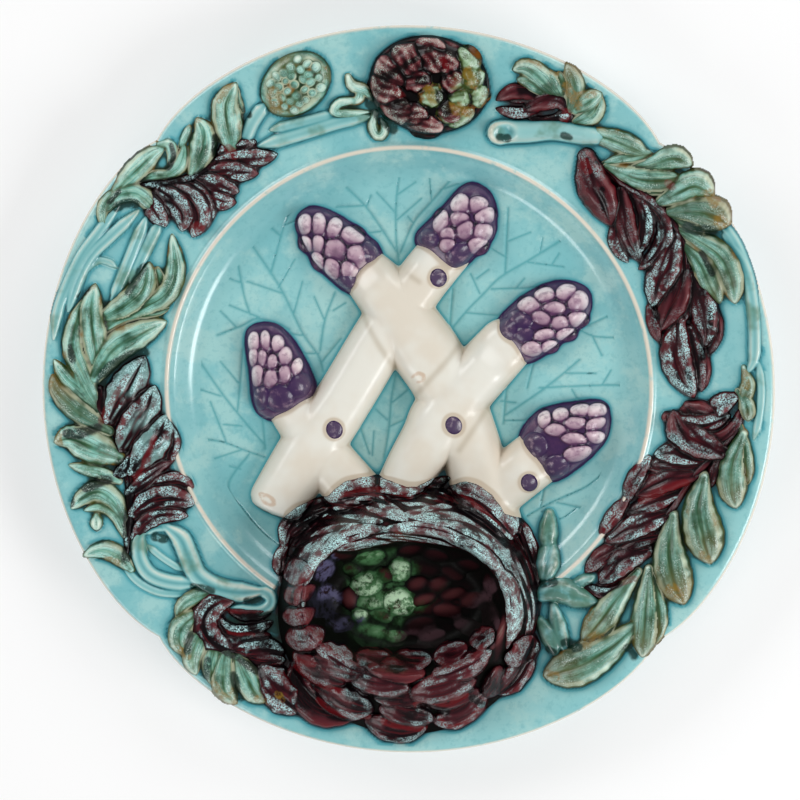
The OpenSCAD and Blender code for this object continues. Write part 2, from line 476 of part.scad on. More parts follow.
plate_body();
foot_ring();
well_bead();
sauce_cup();
cup_outer_bracts();
cup_swirl_bracts();
cup_crest_bracts();
cup_inner_scales();
cup_stubs();
stalk_1();
stalk_2();
stalk_3();
stalk_4();
stalk_5();
stalk_buds();
for (i = [0:4]) {
    tip(i);
    tip_scales(i);
}
upper_left_green();
upper_left_dark();
upper_left_midrib();
left_green();
left_dark();
left_midrib();
left_stems();
lower_left_green();
lower_left_dark();
lower_left_loop();
oval_bud();
oval_bud_scales();
top_stems();
bud_sepals();
artichoke_bud();
artichoke_scales();
upper_right_green();
upper_right_dark();
cut_stem();
right_green();
right_dark();
right_midrib();
rim_stem();
lower_right_green();
lower_right_dark();
lower_right_midrib();
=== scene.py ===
"""Asparagus plate with a sauce cup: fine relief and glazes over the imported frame.

Relief is drawn in plan, in millimetres, as the part's source draws it: a width and a few points for each
lobe, written as "width: x y, x y; width: x y, x y". Every lobe is swept over the plate's own skin and flares
into it, as moulded clay does.
"""
import math

import bpy
import numpy as np
from mathutils import Matrix, Vector


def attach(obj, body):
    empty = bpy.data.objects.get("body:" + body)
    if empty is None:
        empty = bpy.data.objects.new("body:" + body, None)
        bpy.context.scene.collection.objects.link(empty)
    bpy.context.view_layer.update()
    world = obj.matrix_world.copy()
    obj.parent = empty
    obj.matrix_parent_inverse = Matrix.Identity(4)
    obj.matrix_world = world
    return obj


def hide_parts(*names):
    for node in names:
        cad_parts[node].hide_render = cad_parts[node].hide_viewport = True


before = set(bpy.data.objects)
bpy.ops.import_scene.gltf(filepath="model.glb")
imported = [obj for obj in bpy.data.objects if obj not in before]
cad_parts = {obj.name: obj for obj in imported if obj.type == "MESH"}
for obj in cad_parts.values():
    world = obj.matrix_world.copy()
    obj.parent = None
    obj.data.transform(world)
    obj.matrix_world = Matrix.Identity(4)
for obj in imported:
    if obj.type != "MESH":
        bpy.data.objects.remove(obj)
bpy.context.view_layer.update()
MM = 0.001
RNG = np.random.default_rng(7)

# The plate's own sizes
PLATE_R = 122.5
CUSP_DEPTH = 4.0
CUSP_WIDTH = 5.9
FLOOR_Z = 7.0
FLOOR_R = 71.0
SEAM_R = 70.5
SHOULDER_Z = 13.5
RIM_Z = 21.5
BEAD_R = 81.2
BEAD_H = 1.3
FOOT_R = 66.0
BACK_Z = 2.5
CREST_Z = 33.0
CUP_FLOOR_Z = 15.5
STALK_H = 8.0
TIP_H = 8.5
# How much further than drawn a tip's point reaches
TIP_DRAW = 2.6
VEIN_DEPTH = 0.32
# How far apart two stalks' heights may be and still melt together
SOFT_CROSSING = 0.8

# Places are drawn as the leaning view shows them, so what lies lower or higher than the rim is moved
STRETCH = np.array([1.0, 1.0087])
ON_RIM = (0.0, 0.7)
IN_WELL = (-0.6, -0.3)
ON_CREST = (0.5, 2.5)

# Ellipses of the sauce cup: middle and half sizes of its foot, crest and floor
CUP_FOOT = ((-0.5, -75), (43.2, 40.6))
CUP_CREST = ((0, -69), (34.5, 25))
CUP_FLOOR = ((-0.5, -71.5), (24, 14))
CUP_MID = np.array([0.0, -71.0])


def smooth_table(points, step=0.25, spread=1.3):
    """A profile through corner points, with its corners rounded by a moving average."""
    xs, ys = zip(*points)
    grid = np.arange(xs[0], xs[-1] + step, step)
    line = np.interp(grid, xs, ys)
    half = int(4 * spread / step)
    kernel = np.exp(-0.5 * (np.arange(-half, half + 1) * step / spread) ** 2)
    beyond = line[-1] + (line[-1] - line[-2]) * np.arange(1, half + 1)
    padded = np.concatenate([np.full(half, line[0]), line, beyond])
    return grid, np.convolve(padded, kernel / kernel.sum(), mode="valid")


PROFILE = smooth_table([
    (0, FLOOR_Z), (FLOOR_R, FLOOR_Z), (FLOOR_R + 3, FLOOR_Z + 0.9), (FLOOR_R + 6, FLOOR_Z + 4),
    (80, SHOULDER_Z), (83, SHOULDER_Z), (100, SHOULDER_Z + 2.6), (PLATE_R - 4, RIM_Z - 0.6),
    (PLATE_R + 8, RIM_Z)])


def ground(p):
    """Height of the plate's upper skin at points in plan."""
    return np.interp(np.hypot(p[..., 0], p[..., 1]), *PROFILE)


def reach(ellipse, d):
    """Distance from the cup's middle to an ellipse, along unit directions."""
    (mx, my), (sx, sy) = ellipse
    ox, oy = (CUP_MID[0] - mx) / sx, (CUP_MID[1] - my) / sy
    vx, vy = d[..., 0] / sx, d[..., 1] / sy
    a, b, c = vx * vx + vy * vy, 2 * (ox * vx + oy * vy), ox * ox + oy * oy - 1
    return (-b + np.sqrt(b * b - 4 * a * c)) / (2 * a)


def cup_raw(p):
    """Height of the cup's skin: its bowl, its outer slope, and the plate beyond its foot."""
    v = p - CUP_MID
    q = np.hypot(v[..., 0], v[..., 1])
    d = v / np.maximum(q, 1e-6)[..., None]
    foot, crest, low = reach(CUP_FOOT, d), reach(CUP_CREST, d), reach(CUP_FLOOR, d)
    out = np.clip((q - crest) / (foot - crest), 0, 1)
    inn = np.clip((q - low) / (crest - low), 0, 1)
    g = ground(p)
    slope = CREST_Z - (CREST_Z - 3 - g) * out ** 1.6 - 3 * out
    bowl = CUP_FLOOR_Z + (CREST_Z - CUP_FLOOR_Z) * inn ** 2 * np.sqrt(1.1 / (inn + 0.1))
    return np.where(q > foot, g, np.where(q > crest, slope, bowl))


def cup_skin(p):
    """Height of the sauce cup's skin, with its crest rounded over."""
    v = p - CUP_MID
    d = v / np.maximum(np.hypot(v[..., 0], v[..., 1]), 1e-6)[..., None]
    shares = ((-1.8, 0.12), (-0.9, 0.22), (0, 0.32), (0.9, 0.22), (1.8, 0.12))
    return sum(w * cup_raw(p + d * s) for s, w in shares) - 0.15


def placed(points, at):
    """Drawn points at their true places in plan."""
    return np.asarray(points, float) * STRETCH + at


def between(a, b, c, d, f):
    """A smooth curve from b to c, with a before them and d after them, f from 0 to 1."""
    square, cube = 2 * a - 5 * b + 4 * c - d, 3 * b - a - 3 * c + d
    return 0.5 * (2 * b + (c - a) * f + square * f ** 2 + cube * f ** 3)


def along(points, t):
    """Points along a smooth curve through given points, t from 0 to 1."""
    p = np.asarray(points, float)
    n = len(p) - 1
    s = np.clip(np.asarray(t), 0, 1) * n
    i = np.minimum(s.astype(int), n - 1)
    return between(p[np.maximum(i - 1, 0)], p[i], p[i + 1], p[np.minimum(i + 2, n)], (s - i)[:, None])


def around(points, count):
    """Points along a smooth loop through an outline's points."""
    p = np.asarray(points, float)
    n = len(p)
    s = np.arange(count) * n / count
    i = s.astype(int)
    return between(p[(i - 1) % n], p[i % n], p[(i + 1) % n], p[(i + 2) % n], (s - i)[:, None])


def even(points, count, fine=400):
    """Points at even spacing along the curve, and the curve's length."""
    line = along(points, np.linspace(0, 1, fine))
    run = np.concatenate([[0], np.cumsum(np.hypot(*np.diff(line, axis=0).T))])
    at = np.linspace(0, run[-1], count)
    return np.stack([np.interp(at, run, line[:, k]) for k in (0, 1)], axis=-1), run[-1]


def srgb(r, g, b):
    """Linear colour of an 8-bit screen colour."""
    parts = [v / 255 for v in (r, g, b)]
    return tuple(((v + 0.055) / 1.055) ** 2.4 if v > 10 / 255 else v / 12.92 for v in parts) + (1.0,)


def crease(piece, ring):
    """Keep the edges between the vertices of a ring sharp."""
    ring = set(ring)
    for e in piece.data.edges:
        if e.vertices[0] in ring and e.vertices[1] in ring:
            e.use_edge_sharp = True


def build(name, material, slot, nodes, verts, faces, **values):
    """One piece of the scene from vertices in millimetres, faces, and the values of its points."""
    verts = np.asarray(verts, float).reshape(-1, 3)
    mesh = bpy.data.meshes.new(name)
    mesh.from_pydata((verts * MM).tolist(), [], [tuple(int(k) for k in f) for f in faces])
    for key in sorted(values):
        column = np.array(np.broadcast_to(np.ravel(values[key]), len(verts)), float)
        mesh.attributes.new(key, "FLOAT", "POINT").data.foreach_set("value", column)
    mesh.polygons.foreach_set("use_smooth", [True] * len(mesh.polygons))
    mesh.materials.append(material)
    mesh.validate()
    mesh.update()
    piece = bpy.data.objects.new(name, mesh)
    bpy.context.collection.objects.link(piece)
    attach(piece, "root")
    if nodes:
        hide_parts(*nodes)
    return piece


def grid_faces(rows, cols, loop=True):
    """Quads over a grid of rows, closed round each row if loop is set."""
    faces = []
    for i in range(rows - 1):
        for j in range(cols if loop else cols - 1):
            k = (j + 1) % cols
            faces.append((i * cols + j, i * cols + k, (i + 1) * cols + k, (i + 1) * cols + j))
    return faces


def ring_faces(rows, cols, flip=False):
    """Quads over closed rings, with a cap on the first ring and on the last."""
    last = (rows - 1) * cols
    faces = grid_faces(rows, cols) + [tuple(range(cols))[::-1], tuple(last + k for k in range(cols))]
    return [f[::-1] for f in faces] if flip else faces


# The relief is worked out on one fine grid over the plate, then meshed group by group
STEP = 0.3
SPAN = 123.0
AXIS = np.arange(-SPAN, SPAN + STEP / 2, STEP)
FLAT = np.stack(np.meshgrid(AXIS, AXIS, indexing="ij"), axis=-1)
LAND = ground(FLAT)
CUP_LAND = cup_skin(FLAT)
STEEP = np.clip(np.sqrt(1 + sum(v ** 2 for v in np.gradient(CUP_LAND, STEP))), 1, 1.9).astype(np.float32)
# Rises in millimetres: where nothing is drawn, the lowest flare of a lobe, where a group is cut off, its
# lowest skirt, and its bed under the skin
DEEP = -3.0
FLARE_END = -1.5
CUT = -0.25
SKIRT = -0.5
BED = -1.3
# Slope of the flare outside a lobe's edge
FLARE = 1.6
GROUPS = []


def window_of(lo, hi):
    """Slices of the grid round a box in plan."""
    i = np.clip(((np.asarray(lo) + SPAN) / STEP).astype(int), 0, len(AXIS) - 2)
    j = np.clip(((np.asarray(hi) + SPAN) / STEP).astype(int) + 2, 2, len(AXIS))
    return slice(i[0], j[0]), slice(i[1], j[1])


def blur(a, spread):
    """A grid blurred by a bell of the given spread in millimetres."""
    half = int(3 * spread / STEP) + 1
    bell = np.exp(-0.5 * (np.arange(-half, half + 1) * STEP / spread) ** 2)
    bell /= bell.sum()
    for axis in (0, 1):
        margin = [(half, half) if axis == k else (0, 0) for k in (0, 1)]
        padded = np.pad(a, margin, mode="edge")
        a = sum(w * np.take(padded, range(i, i + a.shape[axis]), axis=axis) for i, w in enumerate(bell))
    return a


def melted(rise, spread):
    """A rise softened as glaze softens it, kept from falling far below the skin first."""
    return blur(np.maximum(rise, -1.2), spread)


class Relief:
    """Rise of one group of lobes over a skin, on the grid, with the values of whichever lobe is on top."""

    def __init__(self, kind, skin=None):
        self.kind = kind
        self.skin = LAND if skin is None else skin
        self.rise = np.full(LAND.shape, DEEP, np.float32)
        self.steep = STEEP if kind == "cup" else np.ones(LAND.shape, np.float32)
        self.values = {k: np.zeros(LAND.shape, np.float32) for k in ("tone", "span", "run", "mark")}

    def take(self, window, rise, **values):
        """Lay a lobe over the group, where it is higher than what is there."""
        rise = np.maximum(rise, FLARE_END)
        higher = rise > self.rise[window]
        self.rise[window] = np.where(higher, rise, self.rise[window])
        for key, value in values.items():
            self.values[key][window] = np.where(higher, value, self.values[key][window])

    def close(self, name, material, slot, soften=0.28):
        """Keep only the window in use, and remember its piece, which replaces the node of the same name."""
        if soften:
            self.rise = melted(self.rise, soften)
        rows, cols = np.where(self.rise > SKIRT - 0.1)
        w = (slice(max(rows.min() - 2, 0), rows.max() + 3), slice(max(cols.min() - 2, 0), cols.max() + 3))
        self.window, self.rise, self.skin = w, self.rise[w], self.skin[w]
        self.values = {k: v[w] for k, v in self.values.items()}
        self.name, self.material, self.slot = name, material, slot
        GROUPS.append(self)
        return self


def against(points, width, swell, pad=1.5):
    """The grid against a lobe: window, share along, signed share across, half width there, and its length."""
    _, length = even(points, 8)
    c, length = even(points, max(8, int(length / 1.2)))
    window = window_of(c.min(axis=0) - width * 0.55 - pad, c.max(axis=0) + width * 0.55 + pad)
    p = FLAT[window]
    best = np.full(p.shape[:2], 1e9)
    run, across = np.zeros_like(best), np.zeros_like(best)
    last = len(c) - 1
    for k in range(last):
        e, v = c[k + 1] - c[k], p - c[k]
        s = np.clip((v @ e) / (e @ e), 0, 1)
        gap = np.hypot(v[..., 0] - s * e[0], v[..., 1] - s * e[1])
        near = gap < best
        best = np.where(near, gap, best)
        run = np.where(near, (k + s) / last, run)
        across = np.where(near, np.where(e[0] * v[..., 1] > e[1] * v[..., 0], gap, -gap), across)
    half = np.maximum(swell(run), 0.03) * width / 2
    return window, run, across / half, half, length


def leaf_swell(t):
    base = 0.5 + 0.5 * np.sin(np.pi / 2 * np.clip(t / 0.45, 0, 1))
    tip = np.clip(1 - (np.clip(t - 0.45, 0, 1) / 0.55) ** 2.1, 0, 1) ** 0.75
    return base * tip


def fan_swell(t):
    base = 0.32 + 0.68 * np.sin(np.pi / 2 * np.clip(t / 0.66, 0, 1)) ** 1.2
    return base * np.clip(1 - (np.clip(t - 0.66, 0, 1) / 0.34) ** 2, 0, 1) ** 0.7


def long_swell(t):
    return np.clip(np.minimum(t / 0.25, (1 - t) / 0.45), 0, 1) ** 0.6


def round_swell(t):
    return np.clip(np.minimum(t, 1 - t) / 0.3, 0, 1) ** 0.5


def taper_swell(t):
    return 0.3 + 0.7 * np.clip(np.minimum(t, 1 - t) / 0.16, 0, 1) ** 0.8


def stem_swell(t):
    return 0.06 + 0.94 * np.sqrt(1 - (1 - np.clip(np.minimum(t, 1 - t) / 0.11, 0, 1)) ** 2)


def tone():
    """A lobe's own random value."""
    return float(RNG.random())


def any_turn():
    """A random turn of a scale, in degrees."""
    return float(RNG.uniform(-25, 25))


def leaf(relief, width, points, rise, at=ON_RIM, swell=leaf_swell, tilt=0.0, lift=0.0, groove=0.1, lip=0.03,
         lines=0.02, notch=0.025, power=2.6, mark=0.0):
    """One leaf lobe: domed, with a grooved midrib, fine lines along it, and a lip near its edge."""
    mood = tone()
    phase = 6.28 * mood
    window, t, q, half, length = against(placed(points, at), width, swell)
    q = q / (1 + notch * np.sin(t * length / 2.3 * np.pi + phase + np.sign(q)))
    x = np.abs(q)
    body = np.clip(1 - x ** power, 0, 1) ** 0.7
    body = body - groove * np.exp(-(q / 0.16) ** 2) + lip * np.exp(-((x - 0.62) / 0.2) ** 2)
    body = body + lines * np.sin(q * 11 + phase + 2.5 * np.sin(t * 5 + phase))
    tall = width * rise * (0.55 + 0.45 * np.sin(np.pi * np.clip(0.15 + 0.75 * t, 0, 1)))
    tall = tall * np.clip(half / width * 2, 0, 1) ** 0.5
    up = tall * np.maximum(body, 0) * (1 + tilt * q) + lift * t * np.clip(body * 2, 0, 1)
    up = np.where(x < 1, up * relief.steep[window], (1 - x) * half * FLARE)
    relief.take(window, up, tone=mood, span=np.clip(x, 0, 1), run=t, mark=mark)


def stem(relief, width, points, rise, at=ON_RIM, swell=stem_swell, power=2.2, wave=0.04, root=0.6,
         hollow=0.0):
    """One round stem, with a slight unevenness along it, its middle sunk between two edges if hollow."""
    mood = tone()
    window, t, q, half, length = against(placed(points, at), width, swell)
    x = np.abs(q)
    body = np.clip(1 - x ** power, 0, 1) ** root
    body = body * (1 + wave * np.sin(t * length / 5 + mood * 6 + q)) * (1 - hollow * np.exp(-(q / 0.42) ** 2))
    up = width * rise * body * np.clip(half / width * 2, 0, 1) ** 0.5
    up = np.where(x < 1, up, (1 - x) * half * FLARE)
    relief.take(window, up, tone=mood, span=np.clip(x, 0, 1), run=t, mark=0.0)


def dot(relief, middle, half, height, turn=0.0, at=ON_RIM, power=2.4, root=0.6, lean=0.0, mark=0.0):
    """One oval scale, standing higher towards its far end if it leans."""
    mid = placed(middle, at)
    window = window_of(mid - max(half) - 1.5, mid + max(half) + 1.5)
    v = FLAT[window] - mid
    c, s = math.cos(math.radians(turn)), math.sin(math.radians(turn))
    x, y = (v[..., 0] * c + v[..., 1] * s) / half[0], (v[..., 1] * c - v[..., 0] * s) / half[1]
    r = np.hypot(x, y)
    up = height * np.clip(1 - r ** power, 0, 1) ** root * (1 + lean * y)
    up = np.where(r < 1, up, (1 - r) * min(half) * FLARE)
    run = np.clip(y * 0.5 + 0.5, 0, 1)
    relief.take(window, up, tone=tone(), span=np.clip(r, 0, 1), run=run, mark=mark)


def cells_of(near):
    """Cells of the grid that touch a point in near, with no two meeting only at a corner."""
    cell = near[:-1, :-1] | near[1:, :-1] | near[:-1, 1:] | near[1:, 1:]
    cell[0], cell[-1], cell[:, 0], cell[:, -1] = False, False, False, False
    for _ in range(4):
        a, b, c, d = cell[:-1, :-1], cell[1:, 1:], cell[1:, :-1], cell[:-1, 1:]
        one, two = a & b & ~c & ~d, c & d & ~a & ~b
        if not (one.any() or two.any()):
            break
        cell[1:, :-1] |= one
        cell[:-1, 1:] |= one
        cell[:-1, :-1] |= two
        cell[1:, 1:] |= two
    return cell


def mesh_group(group):
    """Close a group's rise into a solid: its top, a bed under the skin, and the sides between them."""
    rise = group.rise
    cell = cells_of(rise > CUT)
    used = np.zeros(rise.shape, bool)
    for di in (0, 1):
        for dj in (0, 1):
            used[di:di + cell.shape[0], dj:dj + cell.shape[1]] |= cell
    n = int(used.sum())
    number = np.full(rise.shape, -1)
    number[used] = np.arange(n)
    flat, skin = FLAT[group.window][used], group.skin[used]
    top = np.column_stack([flat, skin + np.maximum(rise[used], SKIRT)])
    low = np.column_stack([flat, skin + BED])
    i, j = np.where(cell)
    quad = np.stack([number[i, j], number[i + 1, j], number[i + 1, j + 1], number[i, j + 1]], axis=-1)
    faces = [quad, quad[:, ::-1] + n]
    padded = np.pad(cell, 1)
    # Each side of a cell: the neighbour that would close it, and its two corners
    for di, dj, p, q in [(0, -1, (0, 0), (1, 0)), (1, 0, (1, 0), (1, 1)), (0, 1, (1, 1), (0, 1)),
                         (-1, 0, (0, 1), (0, 0))]:
        i, j = np.where(cell & ~padded[1 + di:padded.shape[0] - 1 + di, 1 + dj:padded.shape[1] - 1 + dj])
        a, b = number[i + p[0], j + p[1]], number[i + q[0], j + q[1]]
        faces.append(np.stack([a, a + n, b + n, b], axis=-1))
    columns = {k: v[used] for k, v in group.values.items()}
    columns.update({k: v[group.window][used] for k, v in {"crest": CREST, **SPOTS}.items()})
    columns["level"] = np.clip(rise[used] / max(rise.max(), 0.1), 0, 1)
    build(group.name, group.material, group.slot, [group.name], np.concatenate([top, low]),
          np.concatenate(faces).tolist(), **{k: np.tile(v, 2) for k, v in columns.items()})


# Tints of the strokes, and how strong each is. The shade strokes are painted shade where one stalk passes
# over another, and the plum strokes are a painted reflection on the floor of the cup's hollow.
TINTS = {"amber": ((134, 104, 34), 0.7), "red": ((108, 16, 22), 0.6), "lilac": ((92, 90, 122), 0.9),
         "tan": ((196, 160, 126), 0.6), "shade": ((172, 158, 134), 0.5), "plum": ((74, 52, 58), 0.8)}


class Glaze:
    """A glossy glaze whose colour follows the relief's own values."""

    def __init__(self, name, rough=0.2, coat=0.6, shine=0.5, film=0.05):
        self.material = bpy.data.materials.new(name)
        self.material.use_nodes = True
        self.tree = self.material.node_tree
        self.shader = self.tree.nodes["Principled BSDF"]
        for socket, value in {"Roughness": rough, "Coat Weight": coat, "Coat Roughness": film,
                              "Specular IOR Level": shine, "IOR": 1.45}.items():
            self.shader.inputs[socket].default_value = value
        self.place = self.node("ShaderNodeTexCoord").outputs["Object"]

    def node(self, kind, **settings):
        n = self.tree.nodes.new(kind)
        for k, v in settings.items():
            setattr(n, k, v)
        return n

    def put(self, value, socket):
        """Link a value to a socket, or set a number or an 8-bit screen colour there."""
        if isinstance(value, bpy.types.NodeSocket):
            self.tree.links.new(value, socket)
        else:
            socket.default_value = srgb(*value) if isinstance(value, tuple) else value

    def value(self, name):
        return self.node("ShaderNodeAttribute", attribute_name=name).outputs["Fac"]

    def math(self, kind, a, b=0.0, clamp=False):
        n = self.node("ShaderNodeMath", operation=kind, use_clamp=clamp)
        self.put(a, n.inputs[0])
        self.put(b, n.inputs[1])
        return n.outputs[0]

    def times(self, *factors):
        out = factors[0]
        for f in factors[1:]:
            out = self.math("MULTIPLY", out, f, clamp=True)
        return out

    def less(self, a):
        return self.math("SUBTRACT", 1.0, a)

    def mix(self, share, a, b):
        n = self.node("ShaderNodeMix", data_type="RGBA")
        self.put(share, n.inputs["Factor"])
        self.put(a, n.inputs[6])
        self.put(b, n.inputs[7])
        return n.outputs[2]

    def over(self, below, colour, *shares):
        """A colour laid over what is below it, as far as its shares go."""
        return self.mix(self.times(*shares), below, colour)

    def step(self, value, low, high):
        """0 below low, 1 above high."""
        n = self.node("ShaderNodeMapRange", interpolation_type="SMOOTHSTEP")
        self.put(value, n.inputs[0])
        n.inputs[1].default_value, n.inputs[2].default_value = low, high
        return n.outputs[0]

    def below(self, value, low, high):
        return self.less(self.step(value, low, high))

    def noise(self, scale, detail=3.0, rough=0.55, shift=0.0):
        n = self.node("ShaderNodeTexNoise")
        place = self.place
        if shift:
            moved = self.node("ShaderNodeVectorMath", operation="ADD")
            self.put(self.place, moved.inputs[0])
            moved.inputs[1].default_value = (shift, shift * 0.7, 0)
            place = moved.outputs[0]
        self.put(place, n.inputs["Vector"])
        n.inputs["Scale"].default_value = scale
        n.inputs["Detail"].default_value = detail
        n.inputs["Roughness"].default_value = rough
        return n.outputs["Fac"]

    def patches(self, scale, low, high, detail=3.0, rough=0.55, shift=0.0):
        return self.step(self.noise(scale, detail, rough, shift), low, high)

    def wander(self, scale, amount, shift=0.0):
        """Noise on both sides of 0, which frays what it is added to."""
        return self.math("MULTIPLY", self.math("SUBTRACT", self.noise(scale, shift=shift), 0.5), amount)

    def grain(self, across=9.0, run=2.2, detail=3.0):
        """Noise drawn out along each lobe."""
        n = self.node("ShaderNodeCombineXYZ")
        self.put(self.math("MULTIPLY", self.value("span"), across), n.inputs[0])
        self.put(self.math("MULTIPLY", self.value("run"), run), n.inputs[1])
        self.put(self.math("MULTIPLY", self.value("tone"), 37.0), n.inputs[2])
        t = self.node("ShaderNodeTexNoise")
        self.put(n.outputs[0], t.inputs["Vector"])
        t.inputs["Scale"].default_value = 1.0
        t.inputs["Detail"].default_value = detail
        return t.outputs["Fac"]

    def cells(self, scale):
        n = self.node("ShaderNodeTexVoronoi")
        self.put(self.place, n.inputs["Vector"])
        n.inputs["Scale"].default_value = scale
        return n.outputs["Distance"]

    def ramp(self, value, *stops):
        """A colour ramp; each stop is its place and an 8-bit screen colour."""
        n = self.node("ShaderNodeValToRGB")
        e = n.color_ramp.elements
        while len(e) < len(stops):
            e.new(0.5)
        for element, (at, *colour) in zip(e, stops):
            element.position, element.color = at, srgb(*colour)
        self.put(value, n.inputs[0])
        return n.outputs[0]

    def specks(self, crest, low, high, scale=1500, size=0.4):
        """Coarse and fine dots on the crests, in patches."""
        dots = self.below(self.cells(scale), size * 0.5, size)
        fine = self.below(self.cells(scale * 1.9), size * 0.45, size * 0.9)
        patch = self.patches(230, 0.36, 0.6, 2, shift=3.0)
        return self.times(self.math("MAXIMUM", dots, fine), self.step(crest, low, high), patch)

    def spotted(self, colour, ink=(8, 22, 16), keys=("amber", "red", "ink", "hole"), hole=(6, 44, 36)):
        """The colour with the strokes of the given keys on it: breaks, runs, tints, painted shade in gaps and
        hollows and where stalks cross, and a painted reflection.
        """
        wander = self.wander(230, 1.1, 11.0)
        tints = {**TINTS, "ink": (ink, 0.92), "hole": (hole, 0.9)}
        for key in keys:
            tint, share = tints[key]
            near = self.value(key)
            if key != "shade":
                low = 0.36 if key in ("amber", "lilac") else 0.26
                near = self.times(self.step(self.math("ADD", near, wander), 0.25, 0.75),
                                  self.patches(420, low, low + 0.2, 4, 0.7, 2.0))
            colour = self.over(colour, tint, near, share)
        return colour

    def finish(self, colour, height=None, strength=0.15, distance=0.0002):
        self.put(colour, self.shader.inputs["Base Color"])
        if height is not None:
            n = self.node("ShaderNodeBump")
            n.inputs["Strength"].default_value = strength
            n.inputs["Distance"].default_value = distance
            self.put(height, n.inputs["Height"])
            self.put(n.outputs[0], self.shader.inputs["Normal"])
            self.put(n.outputs[0], self.shader.inputs["Coat Normal"])
        return self.material


def turquoise_glaze():
    g = Glaze("turquoise_glaze", 0.26, 0.55, 0.5, 0.14)
    crest = g.value("crest")
    body = g.mix(g.patches(26, 0.35, 0.65, 4), (122, 186, 191), (148, 202, 203))
    body = g.over(body, (166, 209, 206), g.patches(60, 0.47, 0.62, 5, 0.65, 5.0), 0.75)
    body = g.over(body, (84, 160, 168), g.patches(420, 0.5, 0.66, 3, 0.7, 3.0), 0.22)
    # Darker teal where the relief is low against its neighbours, at the foot of the leaves, stalks and buds:
    # pooled glaze, partly painted shade
    body = g.over(body, (84, 164, 174), g.below(crest, 0.28, 0.5))
    body = g.over(body, (40, 112, 124), g.below(crest, 0.02, 0.26))
    body = g.over(body, (84, 160, 166), g.value("vein"), 0.85)
    body = g.over(body, (26, 52, 34), g.step(g.value("leafy"), 0.26, 0.62), g.patches(170, 0.3, 0.6))
    body = g.over(body, (30, 12, 18), g.step(g.value("dusky"), 0.3, 0.7), g.patches(170, 0.2, 0.5, shift=2.0))
    bleed = g.math("ADD", g.value("violet"), g.math("MULTIPLY", g.noise(260), 0.25))
    body = g.over(body, (46, 32, 80), g.step(bleed, 0.34, 0.56))
    # Painted shade: dark teal in the deepest gaps beside the relief
    body = g.spotted(body, keys=("hole",))
    body = g.over(body, (222, 214, 198), g.step(g.value("thin"), 0.2, 0.9), g.patches(300, 0.15, 0.45))
    return g.finish(body, g.noise(150), 0.1, 0.0004)


def stem_glaze():
    g = Glaze("stem_glaze", 0.28, 0.4, 0.45, 0.14)
    # Colour by the crest value: dark teal in the hollows, pooled glaze partly painted shade; near white on
    # the crests, thin glaze partly painted highlight
    body = g.ramp(g.value("crest"), (0.0, 26, 84, 92), (0.3, 74, 146, 152), (0.5, 118, 178, 180),
                  (0.72, 152, 200, 198), (1.0, 220, 222, 206))
    body = g.over(body, (88, 128, 104), g.patches(95, 0.5, 0.7), 0.7)
    body = g.over(body, (62, 104, 82), g.value("mark"), g.patches(210, 0.3, 0.6), 0.75)
    # Near-black painted shade in the gaps and hollows between lobes
    return g.finish(g.spotted(body, (16, 36, 30), ("ink", "hole")), g.noise(500), 0.15, 0.0003)


def leaf_glaze():
    g = Glaze("leaf_glaze", 0.28, 0.3, 0.3, 0.08)
    crest, span, mark, grain = g.value("crest"), g.value("span"), g.value("mark"), g.grain()
    # Colour by the crest value: near-black in the hollows, pooled glaze partly painted shade; near white on
    # the crests, thin glaze partly painted highlight
    body = g.ramp(crest, (0.0, 4, 13, 8), (0.25, 14, 36, 20), (0.41, 58, 98, 70), (0.55, 106, 166, 150),
                  (0.76, 158, 214, 204), (1.0, 230, 244, 226))
    body = g.over(body, (176, 206, 180), g.step(grain, 0.5, 0.62), g.step(crest, 0.36, 0.55), 0.5)
    body = g.over(body, (44, 72, 44), g.below(grain, 0.36, 0.47), g.below(crest, 0.8, 1.0), 0.6)
    body = g.over(body, (66, 96, 62), g.patches(170, 0.42, 0.66, 4, 0.7, 1.0), g.below(crest, 0.7, 0.95), 0.6)
    body = g.over(body, (84, 86, 24), g.patches(75, 0.44, 0.62), g.step(span, 0.3, 0.95), 0.9)
    body = g.over(body, (22, 62, 36), g.patches(120, 0.48, 0.66, shift=4.0), g.below(crest, 0.62, 0.85), 0.8)
    body = g.over(body, (48, 76, 44), mark, g.below(crest, 0.7, 1.0), 0.62)
    body = g.over(body, (206, 212, 182), g.step(span, 0.56, 0.74), g.below(span, 0.84, 0.96),
                  g.patches(100, 0.4, 0.56, 2, shift=5.0), 0.6)
    rust = g.times(g.patches(140, 0.58, 0.7, shift=7.0), g.step(span, 0.4, 0.9), 0.8)
    far = g.times(mark, g.step(g.value("run"), 0.45, 0.9), 0.45)
    body = g.spotted(g.over(body, (134, 96, 30), g.math("MAXIMUM", rust, far)))
    body = g.over(body, (204, 224, 214), g.specks(crest, 0.54, 0.74), 0.65)
    return g.finish(body, g.math("ADD", g.math("MULTIPLY", grain, 1.6), g.noise(900)), 0.4, 0.0004)


